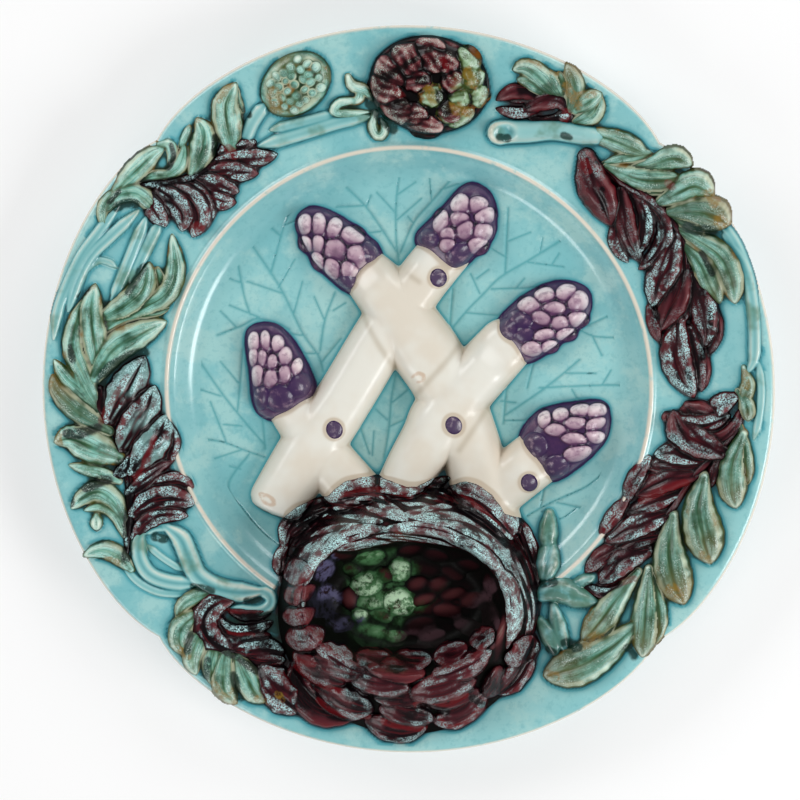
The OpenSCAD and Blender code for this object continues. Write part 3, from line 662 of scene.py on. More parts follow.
def aubergine_glaze(name="aubergine_glaze", low=0.5, share=0.95, high=(128, 78, 80), speck=(182, 224, 226),
                    rim=0.75, fine=1500):
    """Dark glaze: pale specks from the crest value low upwards, and red on its crests and at its rims."""
    g = Glaze(name, 0.26, 0.2, 0.18)
    crest, mark, grain = g.value("crest"), g.value("mark"), g.grain(7.0, 1.8)
    # Colour by the crest value: near-black in the hollows, pooled glaze partly painted shade; a paler pinkish
    # maroon on the crests, partly painted sheen
    body = g.ramp(crest, (0.0, 3, 1, 3), (0.36, 14, 4, 7), (0.5, 42, 12, 19), (0.64, 78, 30, 37),
                  (1.0, *high))
    span = g.step(g.value("span"), 0.5, 0.85)
    edge = g.times(span, g.step(crest, 0.3, 0.48), g.patches(130, 0.35, 0.55, 2))
    body = g.over(body, (98, 20, 27), edge, rim)
    body = g.over(body, (12, 5, 9), g.patches(90, 0.5, 0.64, shift=4.0), 0.9)
    body = g.over(body, (80, 18, 25), g.step(grain, 0.52, 0.66), 0.6)
    body = g.over(body, (122, 166, 162), g.step(mark, 0.85, 1.0), g.step(crest, 0.44, 0.6),
                  g.patches(110, 0.4, 0.56, shift=12.0), 0.7)
    many = g.math("ADD", g.math("MULTIPLY", mark, 0.62), g.math("MULTIPLY", g.value("tone"), 0.5))
    many = g.step(g.math("ADD", many, g.math("MULTIPLY", g.noise(75, 2, shift=8.0), 1.2)), 0.6, 1.1)
    # Near-black painted shade in the gaps and hollows between lobes
    body = g.spotted(body, (8, 4, 7), hole=(10, 3, 6))
    body = g.over(body, speck, g.specks(crest, low, low + 0.12, fine, 0.6), many, share)
    return g.finish(body, g.math("ADD", grain, g.noise(900)), 0.35, 0.0003)


def ivory_glaze():
    g = Glaze("ivory_glaze", 0.34, 0.22, 0.45, 0.16)
    body = g.mix(g.patches(45, 0.4, 0.65), (229, 227, 217), (222, 214, 199))
    body = g.over(body, (208, 186, 164), g.step(g.value("span"), 0.6, 1.0), 0.4)
    # Darker beige where the relief is low against its neighbours, at crossings and round the buds: pooled
    # glaze, partly painted shade
    body = g.over(body, (190, 172, 148), g.below(g.value("crest"), 0.2, 0.46), 0.7)
    body = g.over(body, (166, 190, 184), g.below(g.value("level"), 0.0, 0.12), 0.8)
    # Painted shade where one stalk passes over another, and the tan of the stalks' ends
    return g.finish(g.spotted(body, keys=("shade", "tan")), g.noise(220), 0.12, 0.0004)


def violet_glaze():
    g = Glaze("violet_glaze", 0.28, 0.22, 0.3)
    mark = g.value("mark")
    # Colour by the crest value: dark violet in the crevices, pooled glaze partly painted shade; near white on
    # the crests, partly painted highlight
    body = g.ramp(g.value("crest"), (0.0, 16, 8, 30), (0.42, 28, 14, 42), (0.54, 74, 42, 74),
                  (0.63, 168, 136, 154), (0.8, 212, 188, 196), (1.0, 236, 220, 222))
    # Darker towards the low end of each scale's run, the same side on every scale and bud: painted shade on
    # that side. The tips' mounds, whose run is 0, take it all over.
    body = g.over(body, (92, 58, 92), g.below(g.value("run"), 0.1, 0.6), 0.55)
    body = g.over(body, (56, 36, 76), mark, g.patches(420, 0.1, 0.5, shift=4.0))
    body = g.over(body, (104, 62, 100), g.patches(520, 0.45, 0.7), g.less(mark), 0.5)
    return g.finish(body, g.noise(800), 0.2, 0.0003)


def bud_glaze():
    g = Glaze("bud_glaze", 0.26, 0.14, 0.12)
    crest = g.value("crest")
    # Colour by the crest value, plum and green: near-black in the crevices, pooled glaze partly painted
    # shade; pale on the crests, partly painted highlight
    plum = g.ramp(crest, (0.0, 3, 2, 3), (0.44, 7, 2, 3), (0.55, 52, 14, 20), (0.68, 104, 42, 48),
                  (0.95, 208, 174, 168))
    green = g.ramp(crest, (0.0, 6, 14, 8), (0.42, 18, 30, 14), (0.53, 84, 104, 66), (0.68, 148, 178, 142),
                   (1.0, 200, 222, 200))
    green = g.over(green, (58, 74, 30), g.patches(240, 0.46, 0.6, 4, 0.7, 6.0), 0.85)
    share = g.step(g.math("ADD", g.value("mark"), g.wander(95, 1.3)), 0.42, 0.62)
    body = g.mix(share, plum, green)
    body = g.over(body, (132, 76, 18), g.patches(190, 0.5, 0.66), share, 0.75)
    body = g.over(body, (22, 12, 14), g.patches(80, 0.5, 0.66, shift=9.0), 0.75)
    # Near-black painted shade in the gaps and hollows, then the pale specks
    body = g.over(g.spotted(body, (8, 5, 6)), (196, 216, 204), g.specks(crest, 0.55, 0.8, size=0.5), 0.8)
    return g.finish(body, g.noise(900), 0.25, 0.0003)


def cup_glaze():
    g = Glaze("cup_glaze", 0.5, 0.0, 0.1)
    crest = g.value("crest")
    # Colour by the crest value: near-black in the hollows, dark glaze pooled there, partly painted shade;
    # paler brownish maroon on the crests
    body = g.ramp(crest, (0.0, 3, 1, 2), (0.45, 16, 5, 7), (0.56, 44, 13, 17), (0.8, 96, 48, 50),
                  (1.0, 140, 110, 104))
    mark = g.math("ADD", g.value("mark"), g.wander(160, 0.7))
    body = g.over(body, (34, 66, 34), g.step(mark, 0.25, 0.65), g.patches(210, 0.34, 0.56, 4, 0.7, 9.0))
    # A painted reflection on the floor of the cup's hollow, and the lilac of its shells
    body = g.spotted(body, keys=("plum", "lilac"))
    body = g.over(body, (76, 122, 80), g.step(mark, 0.5, 0.8), g.patches(330, 0.35, 0.6, shift=6.0))
    # Painted highlight, partly pale glaze: near-white green on the crests of the green scales
    body = g.over(body, (200, 232, 196), g.step(mark, 0.62, 1.0), g.step(crest, 0.46, 0.62),
                  g.patches(330, 0.4, 0.58, 4, 0.7, 2.0))
    # Painted shade: near black wherever the relief is low against its neighbours
    body = g.over(body, (4, 5, 3), g.below(crest, 0.3, 0.5), 0.9)
    return g.finish(body, g.noise(300), 0.4, 0.0006)


TURQUOISE, STEM, LEAF, AUBERGINE = turquoise_glaze(), stem_glaze(), leaf_glaze(), aubergine_glaze()
BRACT = aubergine_glaze("bract_glaze", 0.58, 0.72, (100, 42, 46), (166, 200, 202), rim=0.5, fine=1900)
SWIRL = aubergine_glaze("swirl_glaze", 0.52, 1.0, (108, 82, 84), (200, 242, 242), fine=2000)
IVORY, VIOLET, BUD, CUP = ivory_glaze(), violet_glaze(), bud_glaze(), cup_glaze()


def numbers(text):
    """Rows of numbers, written with spaces between numbers and commas between rows."""
    return [tuple(map(float, row.split())) for row in text.split(",")]


def lobes(text):
    """Widths and points of lobes, written as "width: x y, x y; width: x y, x y"."""
    rows = [row.split(":") for row in text.split(";")]
    return [(float(width), numbers(points)) for width, points in rows]


def leaves(name, text, material=LEAF, slot="leaf_glaze", kind="leafy", rise=0.44, marks=(), rest=0.0,
           level=1.0, full=1.1, **more):
    """A group of leaves, full times as wide as drawn; those in marks have the mark level, others rest."""
    group = Relief(kind)
    for k, (width, points) in enumerate(lobes(text)):
        leaf(group, width * full, points, rise, mark=level if k in marks else rest, **more)
    group.close(name, material, slot)


def dark_leaves(name, text, level=0.65, **more):
    leaves(name, text, AUBERGINE, "aubergine_glaze", "dusky", rise=0.36, full=1.26, tilt=0.3, groove=0.09,
           lines=0.03, lip=0.08, level=level, **more)


def stems(name, text, rise, material=STEM, slot="stem_glaze", kind="plain", **more):
    group = Relief(kind)
    for width, points in lobes(text):
        stem(group, width, points, rise, swell=taper_swell, **more)
    group.close(name, material, slot)


def midrib(name, text, rise=0.62):
    stems(name, text, rise, AUBERGINE, "aubergine_glaze", "dusky")


# Upper left spray
leaves("upper_left_green", """
    9.5: -58.6 79, -60 88, -60.5 95, -57 101.7; 8.5: -71.6 71, -69 78, -68 85, -70.6 90;
    5: -82 69.6, -77 73, -75 77, -74.6 81.5; 7.2: -97 66, -90 73, -84.6 78, -80.6 80;
    4: -83 81, -79.6 81, -78.6 77.6, -80 73.6; 4: -90 69, -84 70.6, -79 70.6, -75.6 72;
    3: -76 80, -74 84, -72.5 88; 3: -55 92, -57 96, -57 101;
    6.5: -100 60, -96.5 64, -91 65, -86.6 61.6, -82 56; 4: -101.2 53.4, -102 58.6, -100 63, -96 67""")
dark_leaves("upper_left_dark", """
    6.5: -86.5 63.5, -84 58, -81 53; 8: -83 66, -78 62, -75 57, -76 51.5;
    8: -79 67, -72 62, -70 56, -72.5 49.5; 6: -75 68, -69 63, -65.5 55; 7: -70 69.5, -63 67, -56.6 64.6;
    6: -69 65, -63 62, -57.5 61; 7: -67 71.5, -59 72, -50 70.8; 6.5: -65 74.5, -56 76, -48 76.5, -43.6 77.5;
    5.5: -62.5 78, -57 79.6, -50.6 81.8; 4.5: -61.5 77, -59.5 82; 4: -72 73, -69 76.5, -66.5 79;
    4.5: -64 73, -56 73, -49 73.6""", marks=range(12))
midrib("upper_left_midrib", "3.5: -91 67.2, -81 68, -74 69, -69 72, -65 74, -60 77.5")

# Left spray
leaves("left_green", """
    7: -98 22.5, -88 26.5, -81 31, -78 39, -79.2 51; 9: -102 23, -94 27.5, -88.6 33, -86.6 41.5;
    3.4: -84 39, -82.5 33, -85 28; 5: -107 14, -101 20, -93 24, -84 24.5, -80 25.8;
    10: -105 3, -99 12, -91 17, -81 21.4; 9: -104 6, -105 16, -106 26, -104.5 34.5;
    7: -105 -4, -109 5, -112 13, -111 22, -108 30; 5.5: -104 -8, -109 0, -110 8, -108 17;
    5.5: -105 -7, -110 -1, -115 4, -118.6 9.5; 7: -100 -15, -108 -10, -114 -5, -118 0, -119 4.5;
    10.5: -97 -24, -106 -20, -113 -17, -118.6 -18.6; 4.5: -97 -32, -103 -29, -110 -27, -114 -26;
    7: -95.5 -44, -99 -38, -104 -35, -109 -37, -113 -41; 4.5: -95 -50, -98 -43, -103 -40, -109 -41.5;
    6: -93 -61, -98 -56, -103 -54.5, -109 -56.5; 4: -104.5 -43, -104.5 -48.5""", marks=(9,))
dark_leaves("left_dark", """
    10: -100 -11, -95.5 -2.5, -91.5 4, -88.4 10; 4.5: -103.5 -1, -102.5 -7, -98 -13;
    10: -96 -21, -91.5 -12, -87.4 -6, -85 0; 10.5: -92 -28, -87 -21, -83.5 -16, -81.4 -9.6;
    4: -80 -13.5, -79 -20, -80.4 -27; 5: -94 -36, -88 -31, -84 -27.5, -79 -25.4;
    5.2: -88 -35.8, -82.6 -32.6, -76.7 -32, -72 -35; 8.4: -92 -42.5, -86.8 -38.7, -80 -37.4, -71.4 -39.8;
    6: -92 -50.4, -87.6 -45.4, -80.9 -43, -74 -44; 6: -98 -30, -93 -26, -89 -19""",
    marks=(0, 2, 3), rest=0.65, level=1.0)
midrib("left_midrib", """
    3.6: -94.5 -57, -94 -48, -93.5 -40, -93.5 -33, -95 -26, -97 -18, -100 -11, -103.4 -5""", 0.3)
stems("left_stems", """
    4.4: -87.5 56.5, -93 43, -99.4 27; 4.2: -82.7 55.5, -88 45, -93 34;
    4: -96.3 60.6, -103.5 51.5, -109.9 42.5, -116.2 28, -118.5 16;
    4.4: -90 58.8, -99 50.6, -106.2 43.4, -110.8 34.4, -113.5 25.3;
    2.6: -109 38, -104 42, -100 41.5, -97.5 39.5""", rise=0.42, hollow=0.34)

# Lower left spray
leaves("lower_left_green", """
    5.5: -64 -69, -71 -70.4, -76 -73.5, -77.6 -78; 8: -71 -76, -75.5 -80, -76.6 -85, -74 -90;
    7.5: -67.5 -80, -71 -86, -72.4 -91, -71 -96.5; 6.5: -64.5 -85, -66 -92, -65.4 -100;
    8: -61 -88, -62 -95, -61.4 -101, -57.2 -106; 9: -57 -91, -54 -97, -51 -102, -46.6 -105;
    5: -69 -76, -68 -83, -62 -89, -53 -94""", rest=0.3)
dark_leaves("lower_left_dark", """
    8.5: -58 -71, -65.5 -73, -68.5 -78.5, -66 -84.5, -58 -89;
    4.6: -60.5 -71.5, -64.4 -75.5, -63.6 -80, -58 -82.6, -52 -82, -45.4 -79;
    5: -66 -81, -61 -86, -55 -85.8, -46 -83.6; 6: -60 -88, -52 -88, -46 -88, -41 -89.4;
    5: -55 -90, -48 -91.6, -41 -91.6; 4: -61 -75, -54 -76.8, -46 -76;
    10.5: -50 -93, -45.5 -99, -41 -104, -36.6 -109; 4.6: -47 -95, -42 -97, -38.4 -102, -36.4 -108""",
    marks=(0, 1, 3, 6), swell=round_swell)
stems("lower_left_loop", """
    2.8: -96.4 -57.6, -91.8 -64.3, -85.1 -68.5, -77.6 -69.6, -70 -68.6;
    5.4: -89 -47.6, -90.6 -52, -90 -58, -86.6 -63, -80 -65.6, -71 -66.4;
    3.6: -89 -49.4, -85 -47.4, -79 -47.6; 2.6: -87.6 -53.4, -82.6 -57.6, -76 -62;
    7: -82 -47, -76.8 -51, -74 -57, -71 -63.4, -65 -67.4, -57 -69.2, -49 -69;
    4.4: -52 -68.4, -47 -70, -46.4 -73.4, -51 -75.8, -60 -74.4""", rise=0.44, hollow=0.38)

# Top: the oval bud, its stems, and the large bud
OVAL_AT, OVAL_SIZE, OVAL_TURN = np.array([-37.5, 101.0]), (12.8, 10.0), 40


def turned(v, angle):
    """A vector in plan, turned by degrees."""
    c, s = math.cos(math.radians(angle)), math.sin(math.radians(angle))
    return np.array([v[0] * c - v[1] * s, v[0] * s + v[1] * c])


group = Relief("leafy")
dot(group, OVAL_AT, OVAL_SIZE, 4.2, OVAL_TURN, power=3.4, root=0.6)
oval = group.close("oval_bud", LEAF, "leaf_glaze")


def raised(group):
    """The whole land with a group's rise laid over it."""
    skin = LAND.copy()
    skin[group.window] += np.maximum(group.rise, 0)
    return skin


group = Relief("leafy", raised(oval))
for i in range(-4, 5):
    for j in range(-3, 4):
        spot = turned((i * 3.0 + (1.5 if j % 2 else 0), j * 2.9) + RNG.uniform(-0.5, 0.5, 2), OVAL_TURN)
        if math.hypot(*(turned(spot, -OVAL_TURN) / (OVAL_SIZE[0] - 2, OVAL_SIZE[1] - 2))) < 0.98:
            dot(group, OVAL_AT + spot, RNG.uniform(1.4, 2.1, 2), RNG.uniform(0.55, 0.95), OVAL_TURN)
group.close("oval_bud_scales", LEAF, "leaf_glaze")
stems("top_stems", """
    5: -47.5 94.5, -52 88, -55 81; 5: -50 80, -35 84.5, -22 88.5, -13 90; 4: -46 85.5, -34 88.5, -24 91""",
    rise=0.4, hollow=0.2)
leaves("bud_sepals", """
    4: -20 103.6, -18.6 100.5, -14 98.6, -11.6 95; 3.4: -17 101, -16 97, -19 94;
    3.6: -16 95.5, -22.4 94.8, -24.6 91.8, -19 91, -12 91.8;
    3.6: -11 91.6, -12 87, -10 83.5, -8 86, -9.5 90""", rise=0.6, groove=0.0)

BUD_AT = np.array([7.0, 101.0])
group = Relief("dusky")
dot(group, BUD_AT, (20.0, 16.6), 6.6, -6, power=2.6, root=0.6)
bud = group.close("artichoke_bud", BUD, "bud_glaze")
BUD_SCALES = """
    9: -10 111, -6 106, 0 102; 10: -11.5 105, -8 100, -2 97; 9: -10 96, -4 93, 3 91;
    10: -5 114, 0 109.5, 5 105; 5: 1 114.6, 7 115, 13 113.6; 9: 2 113, 8 110, 12 106;
    9: -3 104.5, 3 103.5, 8 101.5; 8: 3 99, 7.5 98, 12 96.5; 8: -4 92, 2 91.4, 7 89.5;
    8: -1 88, 6 87, 12 87.6; 8: 9 110, 13 109, 16 105; 9: 11 105, 15 103, 19 101; 8: 13 98, 17 97, 21 96;
    8: 9 92, 14 92, 19 93; 7: 16 113, 20 110.5, 23 106; 8: 18 108, 21 104, 24 100; 7: 20 95, 23 97, 25.6 101;
    6: 12 87.6, 17 90, 22 93"""
BUD_GREEN = (0, 0, 0, 0, 0, 0, 0.2, 0.85, 0.1, 0.15, 0.1, 0.5, 1, 0.5, 0.9, 1, 0.9, 0.6)
group = Relief("dusky", raised(bud))
for (width, points), green in zip(lobes(BUD_SCALES), BUD_GREEN):
    leaf(group, width * 1.12, points[::-1], 0.3, swell=round_swell, groove=0.0, lift=-1.1, lines=0.04,
         mark=green)
group.close("artichoke_scales", BUD, "bud_glaze")

# Upper right spray
leaves("upper_right_green", """
    7.5: 49 98, 44 104, 39 107, 34.6 106; 6: 51 97, 47.5 102.5, 43 107; 6: 46 98, 41 102, 36 103;
    6.5: 54 93, 55.6 101, 52.6 108.6; 4: 51 97, 51.4 102, 50 106; 7.5: 56 93, 61 96.5, 64.6 99;
    6.5: 56 89, 61.6 92, 64.4 98""", marks=(3,), rest=0.25)
dark_leaves("upper_right_dark", """
    4.8: 45 96.4, 39 98.8, 34 98.6, 29 95.6; 3.8: 43 92.8, 36 91.6, 28.8 93.2;
    5.8: 53 93.4, 49.6 96.2, 44 95.6, 38 92.4; 3.0: 52 92.6, 48 89.6, 43 89.2, 38.4 91.2;
    3.8: 49.6 90.6, 52.5 90, 55.4 92; 2.4: 47 98, 41 96.6, 33 95.4""")
group = Relief("plain")
stem(group, 9.0, [(67, 83.6), (56, 85), (48, 86), (40, 85.4), (32, 85.2), (26.4, 83.8)], 0.44,
     swell=lambda t: stem_swell(t) * np.interp(t, [0, 0.2, 0.5, 0.8, 1], [0.5, 0.8, 0.8, 0.92, 1]))
# The hollow of the cut end
sunk = np.exp(-(np.hypot(*((FLAT - placed((32, 85.2), ON_RIM)) / (3.3, 2.9)).transpose(2, 0, 1))) ** 4)
group.rise = np.where(group.rise > 0, group.rise * (1 - 0.45 * sunk), group.rise)
group.close("cut_stem", STEM, "stem_glaze")

# Right spray
leaves("right_green", """
    7.5: 57 86, 69 83, 80 78.4; 5: 65 75, 73 77.5, 82 79; 7.5: 74 73.5, 82 75.5, 89 77.5, 94.6 75;
    9: 66 74, 73 71.5, 81 70, 91 71; 5: 72 68, 80 67, 89 67.5; 10: 83 62, 91 66.5, 96 68.5, 101.6 65;
    11.5: 87 59, 95 60, 102 58.5, 107 55; 9: 89 54, 97 50, 104.4 45, 108 37, 109 29;
    8.5: 91 49, 97 43, 100.4 36, 104 29; 5: 85 59, 92 56.5, 99 53""", marks=(6,), rest=0.3, swell=fan_swell)
dark_leaves("right_dark", """
    10.4: 59.4 77, 61.6 69, 65 62, 67.6 54; 7: 71 66, 72 58, 73.6 50, 77.6 42;
    5.5: 75 66, 78.6 59, 78.4 51, 75 43; 4: 69 56, 69 48, 73.4 41.6;
    6: 78.6 63, 84 58, 85.6 52, 83 45.6, 76.6 39.4; 4: 85 53, 84.6 46, 79.6 41;
    9: 89 51, 86.8 42, 83.4 35, 81.2 27; 8.5: 92.4 41, 90 32, 87 26, 83.6 19; 5: 93.4 39, 93 30, 91 21;
    4: 80.4 27, 82 21, 84 15; 8.5: 94.6 38, 98 29, 99.4 20, 98.4 14; 4: 99 31, 102.6 24, 102.4 17, 99 10.4;
    9.6: 90 22, 89.6 12, 91.6 5, 95.6 -3; 5.6: 94 20, 96 12, 97 6, 98 -1; 3.6: 97 15, 99 8, 99 0;
    5: 74 68, 79 63, 84 60""", marks=(2, 4, 6, 10, 12))
midrib("right_midrib", """
    3.6: 60 77, 66 73, 71 69, 76 66, 82 62, 88 56, 91 50, 92 44, 92.5 36, 92 27""")
stems("rim_stem", """
    4.5: 105 52, 112 42, 115 28, 115.5 12, 113 6; 3.6: 101 60, 109 50, 114 38;
    3: 117 10, 118 0, 117 -10, 115.5 -16""", rise=0.4, hollow=0.3)

# Lower right spray
leaves("lower_right_green", """
    9.5: 112 -14, 108.6 -24, 108.4 -32, 109.8 -39; 5: 111 -11, 112.4 -18, 113 -24, 113.6 -31;
    12.4: 99 -29, 97.4 -39, 99 -48, 101.4 -57.6; 11.6: 88.6 -42, 87.4 -53, 89.2 -62.6, 92.8 -71.2;
    9: 80.6 -60, 80 -71, 79.4 -80, 78.6 -89.2; 5: 81 -60, 83.6 -69, 84.6 -77, 82.6 -85;
    9: 77 -61, 70 -70, 65 -77, 58.4 -84.6; 12.5: 76 -79, 67 -86.6, 57 -92.4, 45.4 -96;
    5.5: 110 0, 113 -4, 113.6 -10; 5: 112 8, 113.6 2, 111 -4; 6: 70 -76, 64 -84, 55 -89""",
    marks=(3,), rest=0.65, swell=fan_swell)
dark_leaves("lower_right_dark", """
    6: 93.6 -5.6, 99 -7.6, 104 -10; 6: 109 -2, 104 -5, 100 -10;
    4.6: 92 -7, 95 -12, 99.6 -15.6, 105 -15.6, 109.6 -11, 112 -4; 10.5: 105 -20.5, 97 -17, 91 -13, 88.4 -7;
    3.6: 87.4 -10.6, 85.6 -7.6; 7: 98 -23, 90 -21.5, 82 -22; 5: 97 -25, 88 -24.4, 80 -25.6;
    5: 94 -28, 86 -27.6, 80 -26.6; 7.5: 96 -28.6, 86 -30.4, 76 -36; 5: 80 -23.6, 75 -32, 72.4 -39;
    6: 91 -34, 82 -38, 72.6 -42; 4.6: 73 -37, 68 -44, 63.6 -50; 8: 87 -41.6, 77 -45.4, 65.6 -51.6;
    8.5: 80 -54, 72 -57, 64 -65.6; 5.6: 72 -52, 64.6 -56.6, 59 -62;
    4.6: 59.6 -66.6, 66 -68.6, 72 -66.6, 77 -60; 4: 104 -22, 102 -28, 100.6 -33; 6: 84 -49, 75 -51, 66 -57;
    7: 88 -10.5, 97 -12, 108 -8""", marks=(7,))
midrib("lower_right_midrib", """
    3.2: 111 -12, 104 -20, 98 -26, 93 -32, 88 -40, 82 -48, 78.6 -55""", 0.6)
leaves("cup_stubs", """
    6: 47 -43, 46.6 -50, 46.4 -57; 8: 47.4 -53, 46.4 -59, 45 -66; 8: 42 -70, 50 -67.6, 57 -70, 64 -71.6;
    5.5: 48.6 -73, 50.6 -81, 53.4 -89; 6: 44 -78, 48 -84, 50 -90; 4: 55 -66, 59 -64.5, 63 -62.6""",
    STEM, "stem_glaze", "plain", marks=range(6))

# Asparagus: stalks drawn by their two edges, then tips with their scales
STALKS = [
    (STALK_H + 1.1, [(-20, 33), (-15, 24.5), (-4, 6.5), (3, -4), (11, -22), (15, -35), (19, -48)],
     [(-10, 45), (2.8, 33.7), (16.2, 16.8), (22.1, 5.9), (29.5, -14), (33, -27), (37.4, -42)]),
    (STALK_H, [(3.8, 48), (-2.5, 40.1), (-15.2, 24.2), (-29.7, 0.4), (-42.6, -17.5), (-52, -34), (-54, -38)],
     [(18, 38.7), (12, 31.5), (0.5, 14.5), (-13.8, -9.2), (-25.3, -27.9), (-35, -43), (-37, -47)]),
    (STALK_H + 2.1, [(23.4, 17.6), (13, 6.5), (3, -4), (0, -11), (-7, -25), (-14, -42)],
     [(38.1, 6.5), (28.2, -4.8), (20, -16.7), (15.9, -22.7), (6, -34.2), (-2, -48)]),
    (STALK_H - 0.8, [(38, -16), (31, -22), (20, -31)], [(50, -30), (38, -39), (27, -48)]),
    (STALK_H - 1.0, [(-32, -2.5), (-20, -19.5), (-10, -31), (-2, -42)],
     [(-46, -11), (-35, -28), (-26, -40), (-18, -51)])]
# Length of each stalk's rounded lower end
CAPS = (0, 5, 0, 0, 0)
stalks, headings = [], []
for k, ((height, left, right), cap) in enumerate(zip(STALKS, CAPS)):
    left, right = np.array(left, float), np.array(right, float)
    middle, halves = (left + right) / 2, np.hypot(*(right - left).T) / 2
    ahead = (middle[1] - middle[0]) / np.hypot(*(middle[1] - middle[0]))
    middle[0] -= 2.5 * ahead
    line, length = even(middle, 200)
    at_point = [np.argmin(np.hypot(*(line - m).T)) / 199 for m in middle]
    width = 2 * halves.max()

    def swell(t):
        full = np.interp(t, at_point, halves / halves.max())
        near_end = np.clip((1 - t) * length / cap, 0, 1) if cap else 1.0
        return full * (1 - (1 - near_end) ** 3) ** (1 / 3)

    group = Relief("plain")
    stem(group, width, middle, height / width, at=IN_WELL, swell=swell, power=3.2, wave=0.012, root=0.62)
    # The stalk's end ducks under its tip
    past = np.clip(((FLAT - placed(middle[0], IN_WELL)) @ ahead) / 10, 0, 1)
    ducked = group.rise * (0.56 + 0.44 * past * past * (3 - 2 * past))
    group.rise = np.where(group.rise > 0, ducked, group.rise)
    stalks.append(group)
    headings.append(ahead)
# The stalks melt into each other where they cross, so each takes its share of one soft surface
high = np.array([g.rise for g in stalks])
first, second = np.sort(high, axis=0)[:-3:-1]
extra = np.clip(SOFT_CROSSING - (first - second), 0, None) ** 2 / (4 * SOFT_CROSSING)
union = melted(first + np.where(second > 0, extra, 0), 0.6)
for k, group in enumerate(stalks):
    behind = np.max(np.delete(high, k, axis=0), axis=0) - high[k]
    own = melted(high[k], 0.6) - 0.1
    group.rise = np.where(behind < 0, union, np.where(behind < 0.5, union - 0.03, own))
    group.close(f"stalk_{k + 1}", IVORY, "ivory_glaze", soften=0)
total = LAND.copy()
for group in stalks:
    total[group.window] = np.maximum(total[group.window], group.skin + group.rise)
group = Relief("plain", total)
for x, y in [(10.5, 37.3), (-24.3, -13.5), (15.8, -11.5), (41, -31)]:
    dot(group, (x, y), (2.9, 3.3), 0.4, turn=20, at=IN_WELL, mark=0.95)
group.close("stalk_buds", VIOLET, "violet_glaze")

TIPS = [
    numbers("-37 56, -31 60, -20 55, -10 46, -15 39, -20 33, -28 38, -34 46"),
    numbers("4 52, 10 58, 20 68, 28 64, 29 52, 24 46, 16 40, 7 47"),
    numbers("30 21, 38 30, 50 35.5, 60 33, 60 24, 50 14.5, 41 10, 34 15"),
    numbers("39 -16, 44 -8, 56 -5, 66 -5, 67 -15, 60 -24, 50 -30, 43 -24"),
    numbers("-54 18, -47 21, -40 17, -33 5, -33 -2, -42 -9, -51 -8, -53 5")]
TIP_SCALES = [
    numbers("""-34.5 54.5 5 6, -29.5 54.5 4.5 6.5, -24.5 53.5 4.5 6, -18.5 51 7 5, -34 48 4.5 5,
                -29.7 48.3 4 6, -24 46.5 7 7, -17 44.5 6 7, -30 42.5 4 6, -25 40.5 5 7, -19.6 40 5 6,
                -12.8 45.6 5 6, -20 36 5 5"""),
    numbers("""18 61.5 6 6, 23.5 61.5 6 5, 11.5 55.5 5 7, 17.5 57 6 5, 26 58 6 5, 13.5 52 5 5,
                19.5 53.5 6 6, 25 52.5 6 6, 13.5 48.5 5 5, 23.5 48 6 6, 7.5 50.2 6 5, 17.5 45 8 7"""),
    numbers("""41 28 7 5, 46 31.5 6 4.5, 53 32.5 6 4.5, 57 29.5 6 6, 49 27.5 7 4.5, 45 24.5 7 4.5,
                51 22.5 6 5, 57 23.5 6 5, 46 18.5 7 4, 53 18.5 6 4.5, 42 14 6 5, 47.5 14.4 5 4.5,
                38 23.4 7 5, 34 20 6 6, 39 18.5 6 5"""),
    numbers("""46 -10 4 5, 51.5 -8.5 5 4, 58 -6.8 6 3.5, 63.5 -7 6 4, 50 -13 7 4, 56 -10.8 7 4,
                63 -11.3 6 4, 56 -16 8 4, 63 -15.5 6 4, 57 -21 8 5, 43 -18.5 7 7, 50 -25.6 7 7"""),
    numbers("""-51.3 15 4 6, -47.5 15.5 3.5 6, -43.5 14.7 4 5, -51.5 10.3 3.4 6, -48.6 10 3.5 6,
                -45.2 9 3.8 5, -41 10.5 4.3 6, -37.3 7 3.5 5, -50.2 4.5 4 7, -45.7 3.5 5 6, -41 5 4.5 6,
                -36.2 1 6 7, -49 -3.4 5 7, -42.8 -3.4 8 8""")]
# Half sizes of a scale for each millimetre it is drawn across, so that neighbours overlap
TIP_SCALE, INNER_SCALE = 0.63, 0.6
# How many of each tip's last scales belong to its dark neck
NECKS = (2, 2, 3, 2, 3)


def mound(group, outline, height, at):
    """A dome over a smooth outline."""
    edge = around(placed(outline, at), 120)
    mid = edge.mean(axis=0)
    window = window_of(edge.min(axis=0) - 3, edge.max(axis=0) + 3)
    v = FLAT[window] - mid
    angle = np.arctan2(*(edge - mid).T[::-1])
    order = np.argsort(angle)
    angle, radius = angle[order], np.hypot(*(edge - mid).T)[order]
    angles = np.concatenate([angle - 2 * np.pi, angle, angle + 2 * np.pi])
    far = np.interp(np.arctan2(v[..., 1], v[..., 0]), angles, np.tile(radius, 3))
    q = np.hypot(v[..., 0], v[..., 1]) / far
    group.take(window, np.where(q < 1, height * np.clip(1 - q ** 2.4, 0, 1) ** 0.6, (1 - q) * 12), mark=0.75)


for k, (outline, scales) in enumerate(zip(TIPS, TIP_SCALES)):
    group = Relief("violet")
    outline = np.array(outline, float)
    near = (outline - outline.mean(axis=0)) @ headings[k]
    outline += headings[k] * TIP_DRAW * np.clip(near / near.max(), 0, 1)[:, None] ** 2
    mound(group, outline, TIP_H - 1.3, IN_WELL)
    base = group.close(f"tip_{k + 1}", VIOLET, "violet_glaze")
    group = Relief("violet", raised(base))
    for i, (x, y, w, h) in enumerate(scales):
        height, mark = (1.1, 0.95) if i >= len(scales) - NECKS[k] else (1.4, 0.0)
        dot(group, (x, y), (w * TIP_SCALE, h * TIP_SCALE), height, any_turn(), IN_WELL, power=3.0, root=0.7,
            lean=0.25, mark=mark)
    group.close(f"tip_scales_{k + 1}", VIOLET, "violet_glaze", soften=0.2)


